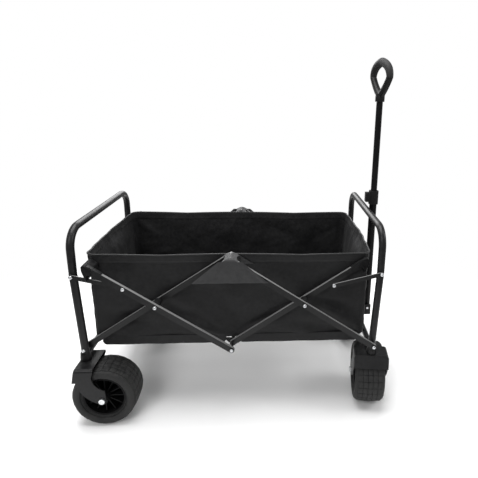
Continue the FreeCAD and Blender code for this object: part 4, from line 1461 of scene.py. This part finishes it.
@dataclass
class LoopGrip:
    """The loop grip on the handle: a drop-shaped ring with a soft upper pad and a collar.

    Attributes:
        finishes: The cart's finishes.
        thin: The ring's radius at its legs.
        thick: The ring's radius at its top.
        yaw: How far the ring is turned about the tube.
        collar: The collar's radius.
        collar_height: The collar's height.
        pad_share: The share of the grip's height above which the soft pad lies.
    """

    finishes: Finishes
    thin: float = 0.0110
    thick: float = 0.0142
    yaw: float = 0.27
    collar: float = 0.0152
    collar_height: float = 0.027
    pad_share: float = 0.56

    def build(self) -> None:
        """Builds the grip and puts it on the handle's upper tube."""
        low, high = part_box("handle_grip")
        centre = Vector(((low[0] + high[0]) / 2, (low[1] + high[1]) / 2, 0.0))
        ring = self._ring(centre, low[2], high[2], (high[1] - low[1]) / 2)
        collar = self._collar(centre, low[2])
        self.finishes.dress(ring, GRIP_SHELL, GRIP_PAD)
        level = low[2] + (high[2] - low[2]) * self.pad_share
        for face in ring.data.polygons:
            face.material_index = int(face.center.z > level)
        self.finishes.dress(collar, GRIP_SHELL)
        for piece in (ring, collar):
            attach(piece, "handle_upper")
            LOG.info("grip piece %s", piece.name)
        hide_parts("handle_grip")

    def _ring(self, centre: Vector, foot: float, top: float, half: float) -> bpy.types.Object:
        """Builds the drop-shaped ring round the hand's opening."""
        base = foot + self.collar_height * 0.72
        reach = half - self.thin
        height = top - self.thick
        route = (
            (0.0, base, self.thin * 1.15), (0.60, base + 0.020, self.thin),
            (1.08, base + 0.058, self.thin), (1.06, height - 0.008, self.thick * 0.95),
            (0.0, height + 0.0035, self.thick), (-1.06, height - 0.008, self.thick * 0.95),
            (-1.08, base + 0.058, self.thin), (-0.60, base + 0.020, self.thin),
        )
        Bench.clear()
        bpy.ops.curve.primitive_nurbs_circle_add(radius=half, location=(0.0, 0.0, 0.0))
        loop = Bench.taken("grip_ring")
        line = loop.data
        line.splines[0].order_u = 3
        line.resolution_u = 10
        line.bevel_depth = 1.0
        line.bevel_resolution = 6
        for point, (across, up, radius) in zip(line.splines[0].points, route):
            arm = across * reach
            point.co = (centre.x - arm * math.sin(self.yaw), centre.y + arm * math.cos(self.yaw), up, 1.0)
            point.radius = radius
        Bench.hold(loop)
        bpy.ops.object.convert(target="MESH")
        ring = Bench.taken("grip_ring")
        Bench.outwards(ring)
        Bench.subdivide(ring, 1)
        Bench.smooth(ring, 60.0)
        return ring

    def _collar(self, centre: Vector, foot: float) -> bpy.types.Object:
        """Builds the collar that grips the tube, with a lip at its foot."""
        Bench.clear()
        bpy.ops.mesh.primitive_cylinder_add(
            vertices=48, radius=self.collar, depth=self.collar_height,
            location=(centre.x, centre.y, foot + self.collar_height / 2),
        )
        collar = Bench.taken("grip_collar")
        Bench.edit(collar, Pick.FACE, lambda face: abs(face.normal.z) > 0.9)
        bpy.ops.mesh.inset(thickness=0.0016, depth=-0.0008)
        Bench.done()
        Bench.modify(collar, "BEVEL", width=0.0012, segments=3, limit_method="ANGLE")
        Bench.smooth(collar, 40.0)
        return collar


# ---------------------------------------------------------------- studio


WHITE = 1.0
SURROUND = 0.38


@dataclass
class Studio:
    """The pale floor, the soft lights and the camera.

    Attributes:
        eye: Where the camera stands.
        yaw: How far it turns from the cart's cross axis, in radians.
        pitch: How far it looks down.
        roll: How far it leans.
        lens: Its focal length, in millimetres.
        shift: The lens shift.
        floor: The floor's radius.
        solid: How far out the floor stays solid before it fades.
    """

    eye: Triple = (0.107, -1.379, 0.990)
    yaw: float = 0.0783
    pitch: float = 0.2364
    roll: float = 0.0245
    lens: float = 31.63
    shift: tuple[float, float] = (-0.1289, -0.1002)
    floor: float = 1.45
    solid: float = 0.75

    def build(self) -> None:
        """Sets out the floor, the lights, the world and the camera."""
        self._floor()
        self._world()
        self._lights()
        self._camera()

    def _floor(self) -> None:
        """Lays the plain pale floor."""
        Bench.clear()
        bpy.ops.mesh.primitive_circle_add(vertices=96, radius=self.floor, fill_type="NGON")
        ground = Bench.taken("studio_floor")
        material = bpy.data.materials.new("pale_floor")
        material.use_nodes = True
        shader = material.node_tree.nodes["Principled BSDF"]
        shader.inputs["Base Color"].default_value = (0.93, 0.93, 0.93, 1.0)
        shader.inputs["Roughness"].default_value = 0.9
        shader.inputs["Specular IOR Level"].default_value = 0.0
        graph = Graph(material.node_tree)
        place = graph.node("ShaderNodeTexCoord").outputs["Object"]
        reach = graph.node("ShaderNodeVectorMath")
        reach.operation = "LENGTH"
        graph.tree.links.new(place, reach.inputs[0])
        faded = graph.ramp(reach.outputs["Value"], self.solid, self.floor)
        graph.tree.links.new(graph.maths("SUBTRACT", 1.0, faded), shader.inputs["Alpha"])
        ground.data.materials.append(material)

    @staticmethod
    def _world() -> None:
        """Sets an even white surround."""
        world = bpy.data.worlds.new("studio_surround")
        world.use_nodes = True
        graph = Graph(world.node_tree)
        sky = world.node_tree.nodes["Background"]
        sky.inputs["Color"].default_value = (1.0, 1.0, 1.0, 1.0)
        seen = graph.node("ShaderNodeLightPath").outputs["Is Camera Ray"]
        strength = graph.maths("MULTIPLY_ADD", seen, WHITE - SURROUND, SURROUND)
        world.node_tree.links.new(strength, sky.inputs["Strength"])
        bpy.context.scene.world = world
        bpy.context.scene.view_settings.view_transform = "Standard"

    @staticmethod
    def _lights() -> None:
        """Hangs the soft lights: a broad one above, and one on each side."""
        for name, place, size, power in (
            ("overhead_light", (-0.2, 0.1, 2.7), 2.0, 92.0),
            ("back_light", (-0.5, 2.6, 1.9), 2.0, 60.0),
            ("front_light", (-1.2, -2.5, 2.4), 1.2, 34.0),
            ("right_light", (2.4, -0.4, 1.8), 1.0, 18.0),
        ):
            lamp = bpy.data.lights.new(name, "AREA")
            lamp.size = size
            lamp.energy = power
            holder = bpy.data.objects.new(name, lamp)
            holder.visible_camera = False
            holder.location = place
            aim = Vector((0.0, 0.0, 0.4)) - Vector(place)
            holder.rotation_mode = "QUATERNION"
            holder.rotation_quaternion = aim.to_track_quat("-Z", "Y")
            bpy.context.scene.collection.objects.link(holder)

    def _camera(self) -> None:
        """Sets up the camera."""
        forward = Vector((
            math.sin(self.yaw) * math.cos(self.pitch),
            math.cos(self.yaw) * math.cos(self.pitch),
            -math.sin(self.pitch),
        ))
        level = Vector((math.cos(self.yaw), -math.sin(self.yaw), 0.0))
        upright = level.cross(forward)
        right = level * math.cos(self.roll) + upright * math.sin(self.roll)
        up = upright * math.cos(self.roll) - level * math.sin(self.roll)
        lens = bpy.data.cameras.new("camera")
        lens.lens = self.lens
        lens.shift_x, lens.shift_y = self.shift
        camera = bpy.data.objects.new("camera", lens)
        bpy.context.scene.collection.objects.link(camera)
        turn = Matrix((right, up, -forward)).transposed()
        camera.matrix_world = Matrix.Translation(self.eye) @ turn.to_4x4()
        bpy.context.scene.camera = camera


def main() -> None:
    """Builds the studio, dresses the frame and makes the modelled pieces."""
    logging.basicConfig(level=logging.INFO, format="%(name)s: %(message)s")
    Studio().build()
    finishes = Finishes(Effects())
    finishes.dress_frame()
    Tub(finishes).build()
    for side in (-1, 1):
        CentreFlap(finishes, side).build()
        BarLoop(finishes, side).build()
        for end in ("rear", "front"):
            CornerPocket(finishes, end, side).build()
    Rivets(finishes).build()
    PostBoots(finishes).build()
    Tyre(finishes).build()
    LoopGrip(finishes).build()
    Bench.clear()


if __name__ == "__main__":
    main()
